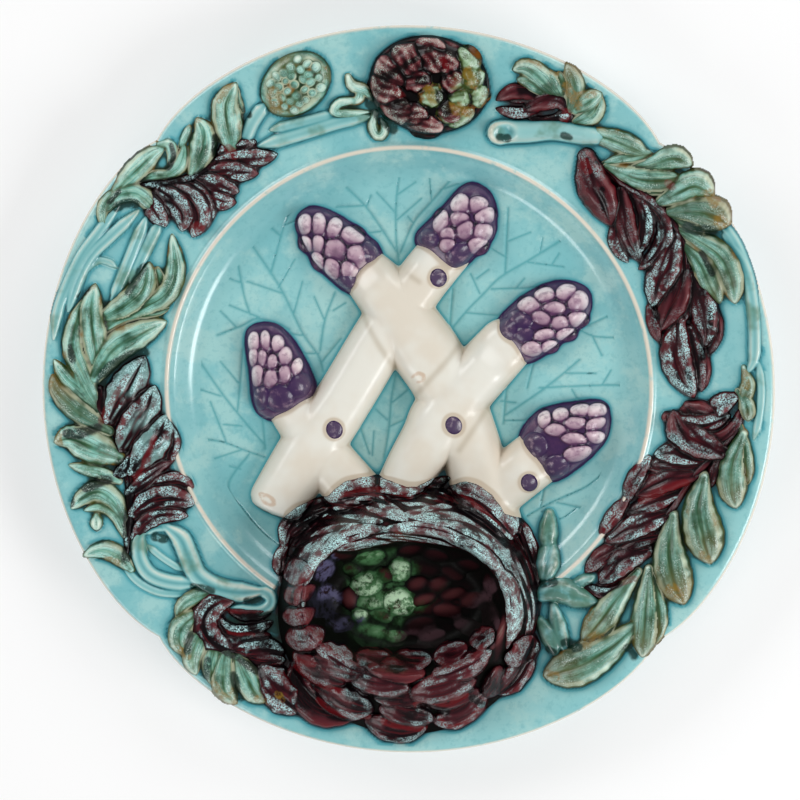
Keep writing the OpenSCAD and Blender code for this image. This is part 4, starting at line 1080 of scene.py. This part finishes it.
# Sauce cup: its bracts and the scales in its hollow
def bracts(name, text, material, skin=CUP_LAND, full=1.0, **more):
    group = Relief("cup", skin)
    mark = 0.0 if material is BRACT else 0.7
    for width, points in lobes(text):
        leaf(group, width * full, points, 0.3, ON_CREST, groove=0.0, mark=mark, **more)
    group.close(name, material, "cup_glaze")


bracts("cup_outer_bracts", """
    8: -28 -82, -35 -84.5, -41.6 -87; 6: -31 -67, -37 -69.5, -42 -72.4; 6: -31 -75, -37 -77, -42.6 -79;
    7: -31 -60, -37 -62.6, -42.6 -66; 9: -38.6 -90, -31 -95.6, -21 -99; 8: -20 -96.4, -9 -99.4, 1 -100;
    10: 0 -103, 11 -100.4, 23 -97.4; 11.5: -32.6 -101.4, -23 -106, -11.6 -108.6;
    10: -37 -92, -37.4 -101, -31 -109, -18 -112; 9: -15 -112, -5 -115.4, 6 -115;
    8.5: -10 -107.6, -1 -110, 8.6 -111.6; 8.5: 8 -113, 17 -110.4, 26 -103; 7: 30.6 -93, 29.4 -99, 25.6 -105;
    9: 32 -91, 37.6 -90, 41 -83.6; 8.5: 29 -104, 36 -97, 40.4 -88; 7: 6 -106, 14 -105, 24 -101.6;
    8: -32 -90, -24 -93.6, -14 -95; 7: -14 -92.6, -4 -94.6, 6 -95; 8: 8 -96, 17 -94, 27 -90;
    6: -12 -103.4, -3 -104.6, 6 -104.4; 5.6: -31 -86, -25 -89, -18 -90.6; 5: -18 -89.8, -12 -91.4, -5 -91.8;
    5: -5 -90.8, 1 -91.8, 8 -91.4; 5.6: 8 -91, 14 -89.6, 20 -87; 5: 20 -86, 25 -84, 28.6 -80.6;
    5: 16 -92.4, 22 -90.8, 28 -87""",
    BRACT, swell=round_swell, lift=0.4, full=1.14, lip=0.05, lines=0.02, tilt=-0.25, power=3.4)
bracts("cup_swirl_bracts", """
    6: -43 -58, -41.6 -50, -35 -44, -26 -39.4; 6: -28 -40, -19 -36, -9 -35.4, 3 -37.6;
    5: 1 -38, 8 -35.4, 13.4 -32.6; 7: 12 -37, 20 -37, 27 -42, 33 -49; 6.5: 30 -44, 37 -51, 41 -61, 42.6 -74;
    7: -30 -41, -19 -39.6, -8 -41, 2 -45; 6.5: -8 -38, 4 -38.6, 14 -41, 24 -47;
    7: 14 -39, 22 -41.6, 30 -48, 36.6 -58; 7.5: -42 -54, -34 -48, -22 -44.4, -8 -44.6;
    8: -2 -42.4, 12 -43, 22 -46.6, 31 -54, 36 -64; 7: 33 -53, 38 -62, 41 -73, 40.6 -86;
    5: -44 -66, -44 -60, -41 -55""",
    SWIRL, skin=np.maximum(CUP_LAND, total), swell=long_swell, lines=0.1, tilt=0.15)
bracts("cup_crest_bracts", """
    7: -41 -57, -31 -50, -19 -47, -5 -47.4; 6: -39 -63, -32 -54.6, -22 -50.6, -12 -49.4;
    6.5: -9 -47.6, 4 -47, 15 -49, 25 -55; 6.5: 8 -48.6, 20 -52, 29 -59, 33.6 -69;
    5.5: -35 -76, -36 -67, -31.6 -58.6, -24 -53.6; 7: 29 -59, 35 -68, 36 -78, 33 -88;
    5: -13 -50.4, 0 -50.2, 10 -51.6, 19 -54.4; 5: 38 -60, 41 -70, 41 -80, 38 -90;
    5: -31 -88, -35 -82, -36.6 -75; 5: -24 -54.6, -14 -52.6, -4 -52.4""",
    SWIRL, swell=long_swell, lines=0.1, tilt=0.15)
INNER = numbers("""
    -13 -57 10 6 0.9, -3 -61 7 8 1, -14 -66 10 8 1, -3 -72 10 9 1, -16 -77 6 5 0.85, -12 -83 12 8 0.8,
    -28 -60 7 8 0, -28 -71 9 10 0, 10 -66 7 5 0.35, 9 -56 9 5 0, 26 -84 7 6 0, 14 -89 10 5 0, -23 -88 8 5 0,
    23 -71 10 6 0, 4 -80 10 6 0, 20 -59 9 5 0, 13 -75 9 5 0, 1 -54 9 5 0.2, -21 -55 8 5 0.2, -23 -79 8 5 0.3,
    0 -89 10 4 0, 20 -80 9 5 0, -19 -61 6 5 0.5, -8 -63 6 5 0.6, -9 -77 7 4 0.7, 28 -64 6 8 0, 3 -66 7 5 0.2,
    -20 -71 5 7 0.2, 15 -62 8 5 0, 5 -71 8 4 0.3, 15 -69 8 4 0, -5 -84 8 5 0.6, 8 -84 9 5 0, 28 -76 6 8 0""")
group = Relief("cup", CUP_LAND)
for x, y, w, h, green in INNER:
    dot(group, (x, y), (w * INNER_SCALE, h * INNER_SCALE), 1.1 if green else 0.8, any_turn(), power=2.0,
        root=0.9, lean=0.25, mark=green)
group.close("cup_inner_scales", CUP, "cup_glaze", soften=0.7)

# Strokes of colour: where the glaze breaks to amber or runs to oxblood, its lilac and tan, near-black painted
# shade in the gaps and hollows between lobes, painted shade where stalks cross, and a painted reflection on
# the cup's floor
STROKES = {
    # Painted shade: dark patches in the deepest gaps between lobes
    "hole": """
    2.6: 30.6 83.6, 33 83.4; 3: -97 60, -94 61.4, -91 61; 2.2: -73 -82.6, -74 -88; 2.4: -67 -91, -68 -97;
    2.6: -58.4 -96, -56.6 -104; 2.4: -72 -67, -66 -68.4; 2.6: -54 -72, -50.4 -72; 6: -58 -79, -43 -80;
    5: -48 -86, -42 -87; 3: -85 -50.6, -82 -51.4; 2.4: 52 84.6, 54 84; 4: -12.6 94.6, -10 91;
    3.6: -8 88.6, -5 86; 3.6: 93 54.4, 101 53.6; 3: 74 -86, 76 -88.6; 2.4: -88.4 40, -91 36, -93.6 31.6;
    3.6: -103 0, -101 5, -95 9.4, -89 11; 2.4: 42.6 -65.6, 49 -65; 3: 53 -85, 57 -86; 2.2: 47 -87, 49 -88""",
    # Painted shade along the stalks, where one passes over another
    "shade": """
    1.6: -17 26, -11 15.6, -5 6; 1.6: 2 -3.4, 7 2.4, 12.4 8.4, 17 14; 1.6: 17 -21, 22 -13.6, 27 -6.4;
    1.4: 0 37.4, 3.6 35""",
    "tan": """
    1: -50 -36.4, -48.6 -39, -45.6 -40.2, -45 -38.6, -47.4 -36.6, -50 -36.4; 1: 1 3, 4 5, 5.4 2.6, 2.6 1.6;
    1.2: -36 -43, -32 -46; 1.2: 14 -40, 18 -44""",
    # A painted reflection: a broad brownish sheen on the floor of the cup's hollow
    "plum": "11: 0 -88, 14 -85, 25 -78, 31 -68",
    "lilac": """
    8: -28 -58, -28 -62; 9: -28 -68, -28 -74; 5: -22 -80, -17 -78""",
    # Painted shade: near-black strokes in the gaps and hollows between lobes and along the midribs
    "ink": """
    3: -94.4 -57, -94 -48, -93.5 -40, -94 -34; 1.6: -64.4 84, -64.4 77; 1.6: -79 81, -78 77, -80 73;
    2: -54 93, -53 90.6; 1.6: -99.4 62, -96 65.6; 1.6: -80 62, -77 57, -77 54;
    2.4: -88 68, -80 68.6, -73 69.4, -68 72; 1.8: -110 30, -107 33; 1.8: -100.4 30, -102 33;
    2: -113 14, -112 9; 3: -114 -15.4, -109 -15, -104 -13.4; 2.2: -116 -24.4, -111 -24.4;
    3.6: -108 -33, -101 -31; 2.6: -113 -35, -113 -39; 4: -108 -50, -103 -50; 5: -96 -27, -92 -26;
    4: -60 -78.6, -46 -77.4; 2.6: -55 -84.6, -43 -86; 2: -69 -80, -63 -87, -55 -92, -49 -96;
    2.4: -8 103.6, -1 107.4; 2: 0 109, 4 110.6; 2.2: 5 113, 8 113.4; 2.4: 13.6 113, 16 112; 2.8: -4 95, 3 97;
    3.4: 11 98, 13 92; 2.8: 4 103, 12 104.6; 1.8: 30 94.6, 40 94; 1.6: 40 90, 50 91; 1.8: 98 46, 101.6 39;
    2.4: 81.6 28, 83 24; 2: 98 15, 98 11; 2: 64.6 67, 65.4 60; 1.8: 101 28, 101 22; 2.4: 105.6 -9, 108.4 -9;
    2: 60 -65.6, 66 -67, 71 -65; 1.8: -12 -101, -9 -102; 3: 5 -105, 13 -107; 2.4: 22 -102, 25 -105;
    2: -30 -43, -22 -42, -14 -43; 2.4: -38 -47, -30 -42.4; 3: 8 -36, 13 -33; 2: 20 -40, 28 -45, 33 -52""",
    "amber": """
    4: -87 42, -84 41; 2.4: -120 1, -119 5; 3.4: -117.6 -15, -117 -21; 3: -101 -58, -98 -58.6;
    2.4: -109 31, -105 34.6; 2: -82 48, -80 51; 2: -76 49.6, -75.4 45; 4.4: -44.6 98.6, -43.6 93;
    3: -72 88, -70 90; 2.4: -59 101, -62.6 96; 1.8: -88 80.4, -82 83.6; 4: -58 -102, -57 -105.4;
    2.4: -77 -87, -74 -89.6; 2.4: -65 -99, -62 -103; 2.4: -50 -104, -46.6 -104.6; 2.2: -43.6 -102, -42 -104;
    3.4: 20 106, 22 102; 3.4: 14 94, 20 92; 3: 7 100, 9 96; 3.4: 53 101, 56.6 95; 2: 48 106, 50 105.4;
    2: 57 98.4, 62 98.6; 4: 104 57, 107 54; 3: 100 66.4, 102 63; 4.4: 88.6 -66, 91 -70;
    4: 99 -55, 100.6 -57.6; 4: 60 -74, 58 -79; 3.4: 64 -82, 60 -84.6; 3: 112 6, 113 2; 3: 45 -95, 50 -95.6""",
    "red": """
    2.6: 53 92, 52 89; 3: 58.6 76, 60 73; 2.6: 86.6 69, 88 68; 2: -103 -12, -98.6 -4, -94 3.6;
    2: -91.6 -31, -87.6 -24, -85 -17; 2.4: 93 -31, 86 -33, 78 -37.6; 2.4: 70 -41, 66 -47;
    1.8: 76 -63, 66 -67; 1.6: -61 -75.4, -54 -76.6, -47 -75.4; 1.8: -60 -82, -52 -83.4;
    3: -60 79.6, -58 77.6; 4: -70.4 53, -71.6 50.6; 2.2: 17 104, 15 101.6; 2.2: -3 99, -1.6 97;
    2.2: 12 110, 13.4 107.6; 1.6: -26 -38, -18 -34.6, -8 -34.6, 1 -36; 1.6: -3 -46, -1 -48.6;
    1.6: 18 -35.6, 24 -40, 30 -45.6; 2: -41.6 -86, -38 -90, -31 -91; 2: -37 -93, -31 -97.6, -22 -100;
    2: -30 -104, -23 -108.6, -13 -109.4; 1.8: -8 -110.6, 0 -113, 9 -113.4;
    1.8: 11 -110, 14 -113, 20 -111, 25 -106; 2: 3 -104, 11 -104.6, 20 -101"""}

# The whole relief's rise: where it is high or low against its surroundings, and which glaze bleeds where
land = LAND.copy()
in_cup = CUP_LAND > LAND + 0.05
land[in_cup] = np.maximum(LAND, CUP_LAND)[in_cup]
stains = {k: np.zeros(LAND.shape, np.float32) for k in ("leafy", "dusky", "violet")}
stains["dusky"][in_cup] = 1
for group in GROUPS:
    land[group.window] = np.maximum(land[group.window], group.skin + group.rise)
    kind = "dusky" if group.kind == "cup" else group.kind
    if kind in stains:
        stains[kind][group.window] = np.maximum(stains[kind][group.window], group.rise > 0)
over = (land - LAND).astype(np.float32)
# The stalks stand so high that less of their height counts, or all of them would read as a crest
tall = (total - LAND > 0.3) & (total > land - 0.2)
over[tall] *= 0.45
CREST = np.clip(0.5 + (over - blur(over, 1.3)) / 2.2 + (over - blur(over, 0.45)) * 0.9, 0, 1)
STAIN = {k: blur(v, 1.1) for k, v in stains.items()}
SPOTS = {}
for key, strokes in STROKES.items():
    SPOTS[key] = np.zeros(LAND.shape, np.float32)
    for width, points in lobes(strokes):
        window, _, q, _, _ = against(placed(points, ON_RIM), width, np.ones_like, pad=2.5)
        SPOTS[key][window] = np.maximum(SPOTS[key][window], np.clip(1.6 - np.abs(q), 0, 1))
    SPOTS[key] = blur(SPOTS[key], 0.5)
for group in GROUPS:
    mesh_group(group)


def look_up(grid, p):
    """Values of a grid at any points in plan."""
    s = np.clip((p + SPAN) / STEP, 0, len(AXIS) - 1.001)
    i = s.astype(int)
    f = s - i
    a = grid[i[..., 0], i[..., 1]] * (1 - f[..., 0]) + grid[i[..., 0] + 1, i[..., 1]] * f[..., 0]
    b = grid[i[..., 0], i[..., 1] + 1] * (1 - f[..., 0]) + grid[i[..., 0] + 1, i[..., 1] + 1] * f[..., 0]
    return a * (1 - f[..., 1]) + b * f[..., 1]


def paint(p):
    """Every glaze value at points in plan."""
    return {"crest": look_up(CREST, p), **{k: look_up(v, p) for k, v in {**STAIN, **SPOTS}.items()}}


# The shell of the cup
sides = 260
turn = np.arange(sides) * 2 * np.pi / sides
ahead = np.stack([np.cos(turn), np.sin(turn)], axis=-1)
low, crest, foot = (reach(ellipse, ahead) for ellipse in (CUP_FLOOR, CUP_CREST, CUP_FOOT))
rows = [low * s for s in np.linspace(0.02, 1, 26)]
rows += [low + (crest - low) * s for s in np.linspace(0, 1, 30)[1:]]
rows += [crest + (foot - crest) * s for s in np.linspace(0, 1.03, 30)[1:]]
flat = CUP_MID + np.array(rows)[..., None] * ahead
top = np.concatenate([flat, (cup_skin(flat) - 0.05)[..., None]], axis=-1)
under = np.concatenate([flat[-1], (ground(flat[-1]) - 1.2)[..., None]], axis=-1)
within = np.concatenate([CUP_MID + ahead * 5, np.full((sides, 1), 8.0)], axis=-1)
green = sum(mark * np.exp(-((flat[..., 0] - x) / (w / 2 + 2)) ** 2 - ((flat[..., 1] - y) / (h / 2 + 2)) ** 2)
            for x, y, w, h, mark in INNER)
hidden = np.zeros(2 * sides)
build("sauce_cup", CUP, "cup_glaze", ["sauce_cup"], np.concatenate([top.reshape(-1, 3), under, within]),
      ring_faces(len(rows) + 2, sides, flip=True),
      crest=np.concatenate([look_up(CREST, flat).ravel(), hidden]),
      mark=np.concatenate([np.clip(green, 0, 1).ravel(), hidden]))

# The well's floor, with its veins cut as grooves
VEINS = """
    0.5: -28.5 5, -30 10, -35 17, -38.5 24, -43.5 34, -53 48; 0.4: -29 8, -22.5 16; 0.4: -35 17, -40 17.5;
    0.4: -30 11, -35 11; 0.4: -38.5 24, -35.5 35; 0.4: -42 31, -54 35; 0.4: -43.5 33, -38 42.5;
    0.5: -29.5 12, -28 22, -24.5 31.5; 0.4: -28 22, -31.5 30; 0.4: -25 25.5, -21 28;
    0.5: -46 38, -42.5 51, -39 60; 0.4: -42.5 50, -47.5 54.5; 0.4: -41 54, -36 56;
    0.5: -3 41, -4 50, -4 62, -2.8 72; 0.4: -4 58, -10.5 65; 0.4: -4 64, 2.5 68.5; 0.4: -3.5 56, 4.5 63;
    0.5: -3 44, -9 53, -14 60, -20.5 66.5; 0.4: -14 60, -12.5 64; 0.4: -15 60.5, -24 60;
    0.4: -9 52, -13 51.5; 0.5: -2.5 45, 2 55, 8 62, 14 69; 0.4: 8 62, 7 71.5; 0.4: 2 54.5, 0 57;
    0.4: 11 66, 17 68; 0.5: -64 17, -56 20, -50 22.5, -40 19; 0.4: -60 27, -50 23; 0.4: -63 25, -57.5 19.5;
    0.45: -57 40, -55 30, -53 24; 0.4: -60 36, -56 34.5; 0.5: -55.5 12, -56.5 0, -57.5 -9;
    0.5: -70 8, -63 -2, -57.5 -9, -48 -20; 0.4: -63 8, -57 1; 0.4: -71 -1, -63 -3.5;
    0.45: -66.5 -5.5, -61 -19.5; 0.4: -62 -13, -56 -13.5; 0.5: -69 -18, -62 -19, -54 -22, -48 -24;
    0.4: -65 -24.5, -56 -21.5; 0.5: -53.5 -23, -60.5 -33.5, -55 -42, -49 -49, -43.7 -53.4;
    0.4: -60 -27, -56.5 -28; 0.4: -60 -41, -55 -42; 0.45: -49 -10, -48 -21;
    0.5: -4 5, -5.5 -3, -6.5 -15, -8 -24; 0.4: -5 -5, 0 -1; 0.4: -11 -7.5, -7 -11; 0.4: -6.5 -13.5, -1 -11;
    0.4: -16 -14, -13 -22.5; 0.4: -11.5 -15, -12 -23; 0.5: 15 20, 20 26, 25 31, 31 37, 41 43, 53 50.5;
    0.4: 19 25, 32 24; 0.4: 24 31.5, 21 38; 0.4: 23 36.5, 27 39.5; 0.4: 28 33, 46 33.5; 0.4: 36 33, 39 36.5;
    0.4: 40 42, 52 40.5; 0.4: 44 45, 45 50; 0.4: 48 41, 50.5 45; 0.5: 32.5 38, 33 50, 33.5 60;
    0.4: 33 43.5, 28 46.5; 0.4: 33.5 49, 41 52; 0.45: 14 20, 15 33; 0.45: 60 21, 70 25.5;
    0.45: 57 20, 62 17.5, 70 17; 0.4: 61.5 18, 65 11; 0.4: 40 0, 42 8; 0.5: 33 -9, 46 0, 57.5 9.5;
    0.4: 53 5, 63 5; 0.45: 44 0, 64 1, 72 1; 0.4: 65 1, 68 6; 0.4: 55 -0.5, 57 -4; 0.45: 33 0, 32 -12;
    0.4: 32.5 -11, 41 -11; 0.4: 31 -4.5, 36 -5; 0.5: 40 -43, 48 -38.5, 60 -33, 67 -27;
    0.4: 45 -41.5, 51 -44, 57 -40; 0.4: 44.5 -40, 45.5 -34.5; 0.4: 50 -38.5, 62 -41"""


def vein_gap(p):
    """Distance of points in plan to the nearest vein, that vein's width, and the nearest spot on it."""
    flat = p.reshape(-1, 2)
    gap, wide, spot = np.full(len(flat), 9.0), np.full(len(flat), 0.4), flat.copy()
    for width, points in lobes(VEINS):
        line = even(placed(points, IN_WELL), 24)[0]
        for a, b in zip(line[:-1], line[1:]):
            box = np.where(np.all((flat > np.minimum(a, b) - 2) & (flat < np.maximum(a, b) + 2), axis=1))[0]
            v, e = flat[box] - a, b - a
            t = np.clip((v @ e) / (e @ e), 0, 1)
            near = a + t[:, None] * e
            off = np.hypot(*(flat[box] - near).T)
            win = off < gap[box]
            gap[box[win]], wide[box[win]], spot[box[win]] = off[win], width, near[win]
    return gap.reshape(p.shape[:-1]), wide.reshape(p.shape[:-1]), spot.reshape(p.shape)


n = 296
u, v = np.meshgrid(np.linspace(-1, 1, n + 1), np.linspace(-1, 1, n + 1), indexing="ij")
flat = np.stack([u * np.sqrt(1 - v * v / 2), v * np.sqrt(1 - u * u / 2)], axis=-1) * (FLOOR_R - 0.4)
gap, wide, spot = vein_gap(flat)
snap = gap < 0.25
flat[snap] = spot[snap]
deep = np.where(snap, 1.0, np.exp(-(gap / wide) ** 2))
z = ground(flat) - VEIN_DEPTH * deep
top = np.concatenate([flat, z[..., None]], axis=-1).reshape(-1, 3)
loop = [(i, 0) for i in range(n)] + [(n, j) for j in range(n)]
loop += [(n - i, n - j) for i, j in loop]
rim = [i * (n + 1) + j for i, j in loop]
under = top[rim] * (1, 1, 0) + (0, 0, FLOOR_Z - 1.5)
base, count = len(top), len(rim)
faces = grid_faces(n + 1, n + 1, loop=False)
faces += [(rim[(k + 1) % count], rim[k], base + k, base + (k + 1) % count) for k in range(count)]
faces.append(tuple(base + k for k in range(count))[::-1])
values = {k: np.concatenate([w.ravel(), np.zeros(count)]) for k, w in {**paint(flat), "vein": deep}.items()}
crease(build("well_floor", TURQUOISE, "turquoise_glaze", [], np.concatenate([top, under]), faces, thin=0.0,
             **values), rim)


# The body: shoulder, rim, rolled edge, back and foot
def outline_r(a):
    """Radius of the plate's outline, with a cusp half way between each two axes."""
    return PLATE_R - CUSP_DEPTH * np.exp(-np.abs(a % 90 - 45) / CUSP_WIDTH)


def body_rows():
    """Radius and height of the body's rings, from the well over the rim to the foot, and how many face up."""
    sunk = 0.7
    reaches = np.concatenate([[0.5, 30, 60, 69.6, 70.35], np.arange(SEAM_R, 119.4, 0.62)])
    top = [(r, float(np.interp(r, *PROFILE)) - (sunk if r < SEAM_R else 0)) for r in reaches]
    lip_r, lip_z = 1.9, 1.95
    lip = [(PLATE_R - lip_r - 0.001 + lip_r * math.sin(a), RIM_Z - 2.35 + lip_z * math.cos(a))
           for a in np.linspace(0, math.pi, 13)]
    outside = "119 16.9, 110 14.4, 100 11.7, 92 10.4, 84 9.3, 79 7.6, 74 4.6, 70 3, 67 2.55"
    corners = np.array(numbers(outside))
    back = [a + (b - a) * s for a, b in zip(corners[:-1], corners[1:]) for s in (0, 0.5)] + [corners[-1]]
    inward = numbers("0 2.3, 0.1 0.7, 0.7 0.1, 1.6 0, 2.6 0, 3.5 0.1, 4 0.7, 4.2 2.1")
    foot = [(FOOT_R - r, z) for r, z in inward] + [(r, BACK_Z) for r in (FOOT_R - 5, 40, 0.5)]
    return np.array(top + lip + back + foot), len(top)


rows, n_top = body_rows()
sides = 720
a = np.arange(sides) * 360 / sides
stretch = np.clip((rows[:, 0] - 104) / (PLATE_R - 104), 0, 1)[:, None]
radius = rows[:, :1] + stretch * (outline_r(a)[None] - PLATE_R)
flat = np.stack([radius * np.cos(np.radians(a)), radius * np.sin(np.radians(a))], axis=-1)
z = rows[:, 1:2] * np.ones(sides)
upper = (np.arange(len(rows)) < n_top)[:, None] * np.ones(sides)
edge = np.exp(-(rows[:, 0] - PLATE_R) ** 2)[:, None]
values = {k: np.where(upper, w, 0.5 if k == "crest" else 0.0).ravel() for k, w in paint(flat).items()}
values["thin"] = (np.where(z > 16, edge * 0.9, 0.0) * np.ones(sides)).ravel()
verts = np.concatenate([flat, z[..., None]], axis=-1)
body = build("plate_body", TURQUOISE, "turquoise_glaze", ["plate_body", "foot_ring"], verts,
             ring_faces(len(rows), sides, flip=True), vein=0.0, **values)
seam = list(rows[:, 0]).index(SEAM_R)
crease(body, range(seam * sides, (seam + 1) * sides))

# The bead round the well, stopping at the cup
across = np.linspace(-3.4, 3.4, 17)
swell = np.exp(-(across / 1.25) ** 2)
rings = []
for turn in np.radians(np.linspace(-57, 236.5, 480)):
    upper = (BEAD_R + across)[:, None] * np.array([math.cos(turn), math.sin(turn)])
    lower = upper[::-3]
    rings.append(np.concatenate([np.column_stack([upper, ground(upper) + BEAD_H * swell - 0.06]),
                                 np.column_stack([lower, ground(lower) - 1])]))
rings = np.array(rings)
count, sides = rings.shape[:2]
values = {k: w.ravel() for k, w in paint(rings[..., :2]).items()}
values["crest"] = np.maximum(values["crest"], 0.42)
build("well_bead", TURQUOISE, "cream_edge", ["well_bead"], rings, ring_faces(count, sides), vein=0.0,
      thin=np.tile(np.concatenate([swell ** 2, np.zeros(sides - len(across))]), count), **values)


# Floor, lights and camera
FLOOR_HALF = 3
floor_mesh = bpy.data.meshes.new("floor")
corners = [(x * FLOOR_HALF, y * FLOOR_HALF, 0) for x, y in ((-1, -1), (1, -1), (1, 1), (-1, 1))]
floor_mesh.from_pydata(corners, [], [(0, 1, 2, 3)])
table = bpy.data.materials.new("floor")
table.use_nodes = True
for socket, value in {"Base Color": (0.5, 0.5, 0.5, 1), "Roughness": 0.9, "Specular IOR Level": 0.1,
                      "Emission Color": (1, 1, 1, 1), "Emission Strength": 0.46}.items():
    table.node_tree.nodes["Principled BSDF"].inputs[socket].default_value = value
floor_mesh.materials.append(table)
floor = bpy.data.objects.new("floor", floor_mesh)
bpy.context.collection.objects.link(floor)
LAMP_AIM = Vector((0, 0, 0.015))


def area(name, place, size, energy):
    """A soft white lamp that looks at the plate."""
    data = bpy.data.lights.new(name, "AREA")
    data.shape, data.energy = "RECTANGLE", energy
    data.size, data.size_y = size
    lamp = bpy.data.objects.new(name, data)
    lamp.location = place
    lamp.rotation_euler = (LAMP_AIM - Vector(place)).to_track_quat("-Z", "Y").to_euler()
    bpy.context.collection.objects.link(lamp)


area("key", (0.95, -0.45, 0.7), (0.6, 0.5), 10)
area("window", (-0.95, 0.75, 0.8), (0.9, 0.5), 9)
area("fill", (-0.75, -0.95, 0.75), (0.6, 0.5), 5)
area("back", (0.6, 1.0, 0.75), (0.7, 0.5), 5)
# A pale surround, brighter at the sides than overhead
world = bpy.data.worlds.new("studio")
world.use_nodes = True
tree = world.node_tree
back = tree.nodes["Background"]
coord = tree.nodes.new("ShaderNodeTexCoord")
split = tree.nodes.new("ShaderNodeSeparateXYZ")
tree.links.new(coord.outputs["Generated"], split.inputs[0])
span = tree.nodes.new("ShaderNodeMapRange")
span.inputs[1].default_value, span.inputs[2].default_value = 0.55, 0.95
span.inputs[3].default_value, span.inputs[4].default_value = 0.3, 0.16
tree.links.new(split.outputs["Z"], span.inputs[0])
tree.links.new(span.outputs[0], back.inputs[1])
back.inputs[0].default_value = (1, 1, 1, 1)
bpy.context.scene.world = world
bpy.context.scene.view_settings.view_transform = "Standard"

# The camera's aim, its lean to the right and backwards in degrees, its distance and the width it frames
AIM = Vector((-2.6, -3.0, 20)) * MM
LEAN = (3.0, 7.5)
DISTANCE = 2.8
FRAME_W = 0.2672
away = Vector((math.tan(math.radians(LEAN[0])), math.tan(math.radians(LEAN[1])), 1)).normalized()
right = Vector((0, 1, 0)).cross(away).normalized()
upward = away.cross(right)
camera_data = bpy.data.cameras.new("camera")
camera_data.lens = camera_data.sensor_width * DISTANCE / FRAME_W
camera = bpy.data.objects.new("camera", camera_data)
facing = Matrix((right, upward, away)).transposed().to_4x4()
camera.matrix_world = Matrix.Translation(AIM + away * DISTANCE) @ facing
bpy.context.collection.objects.link(camera)
bpy.context.scene.camera = camera
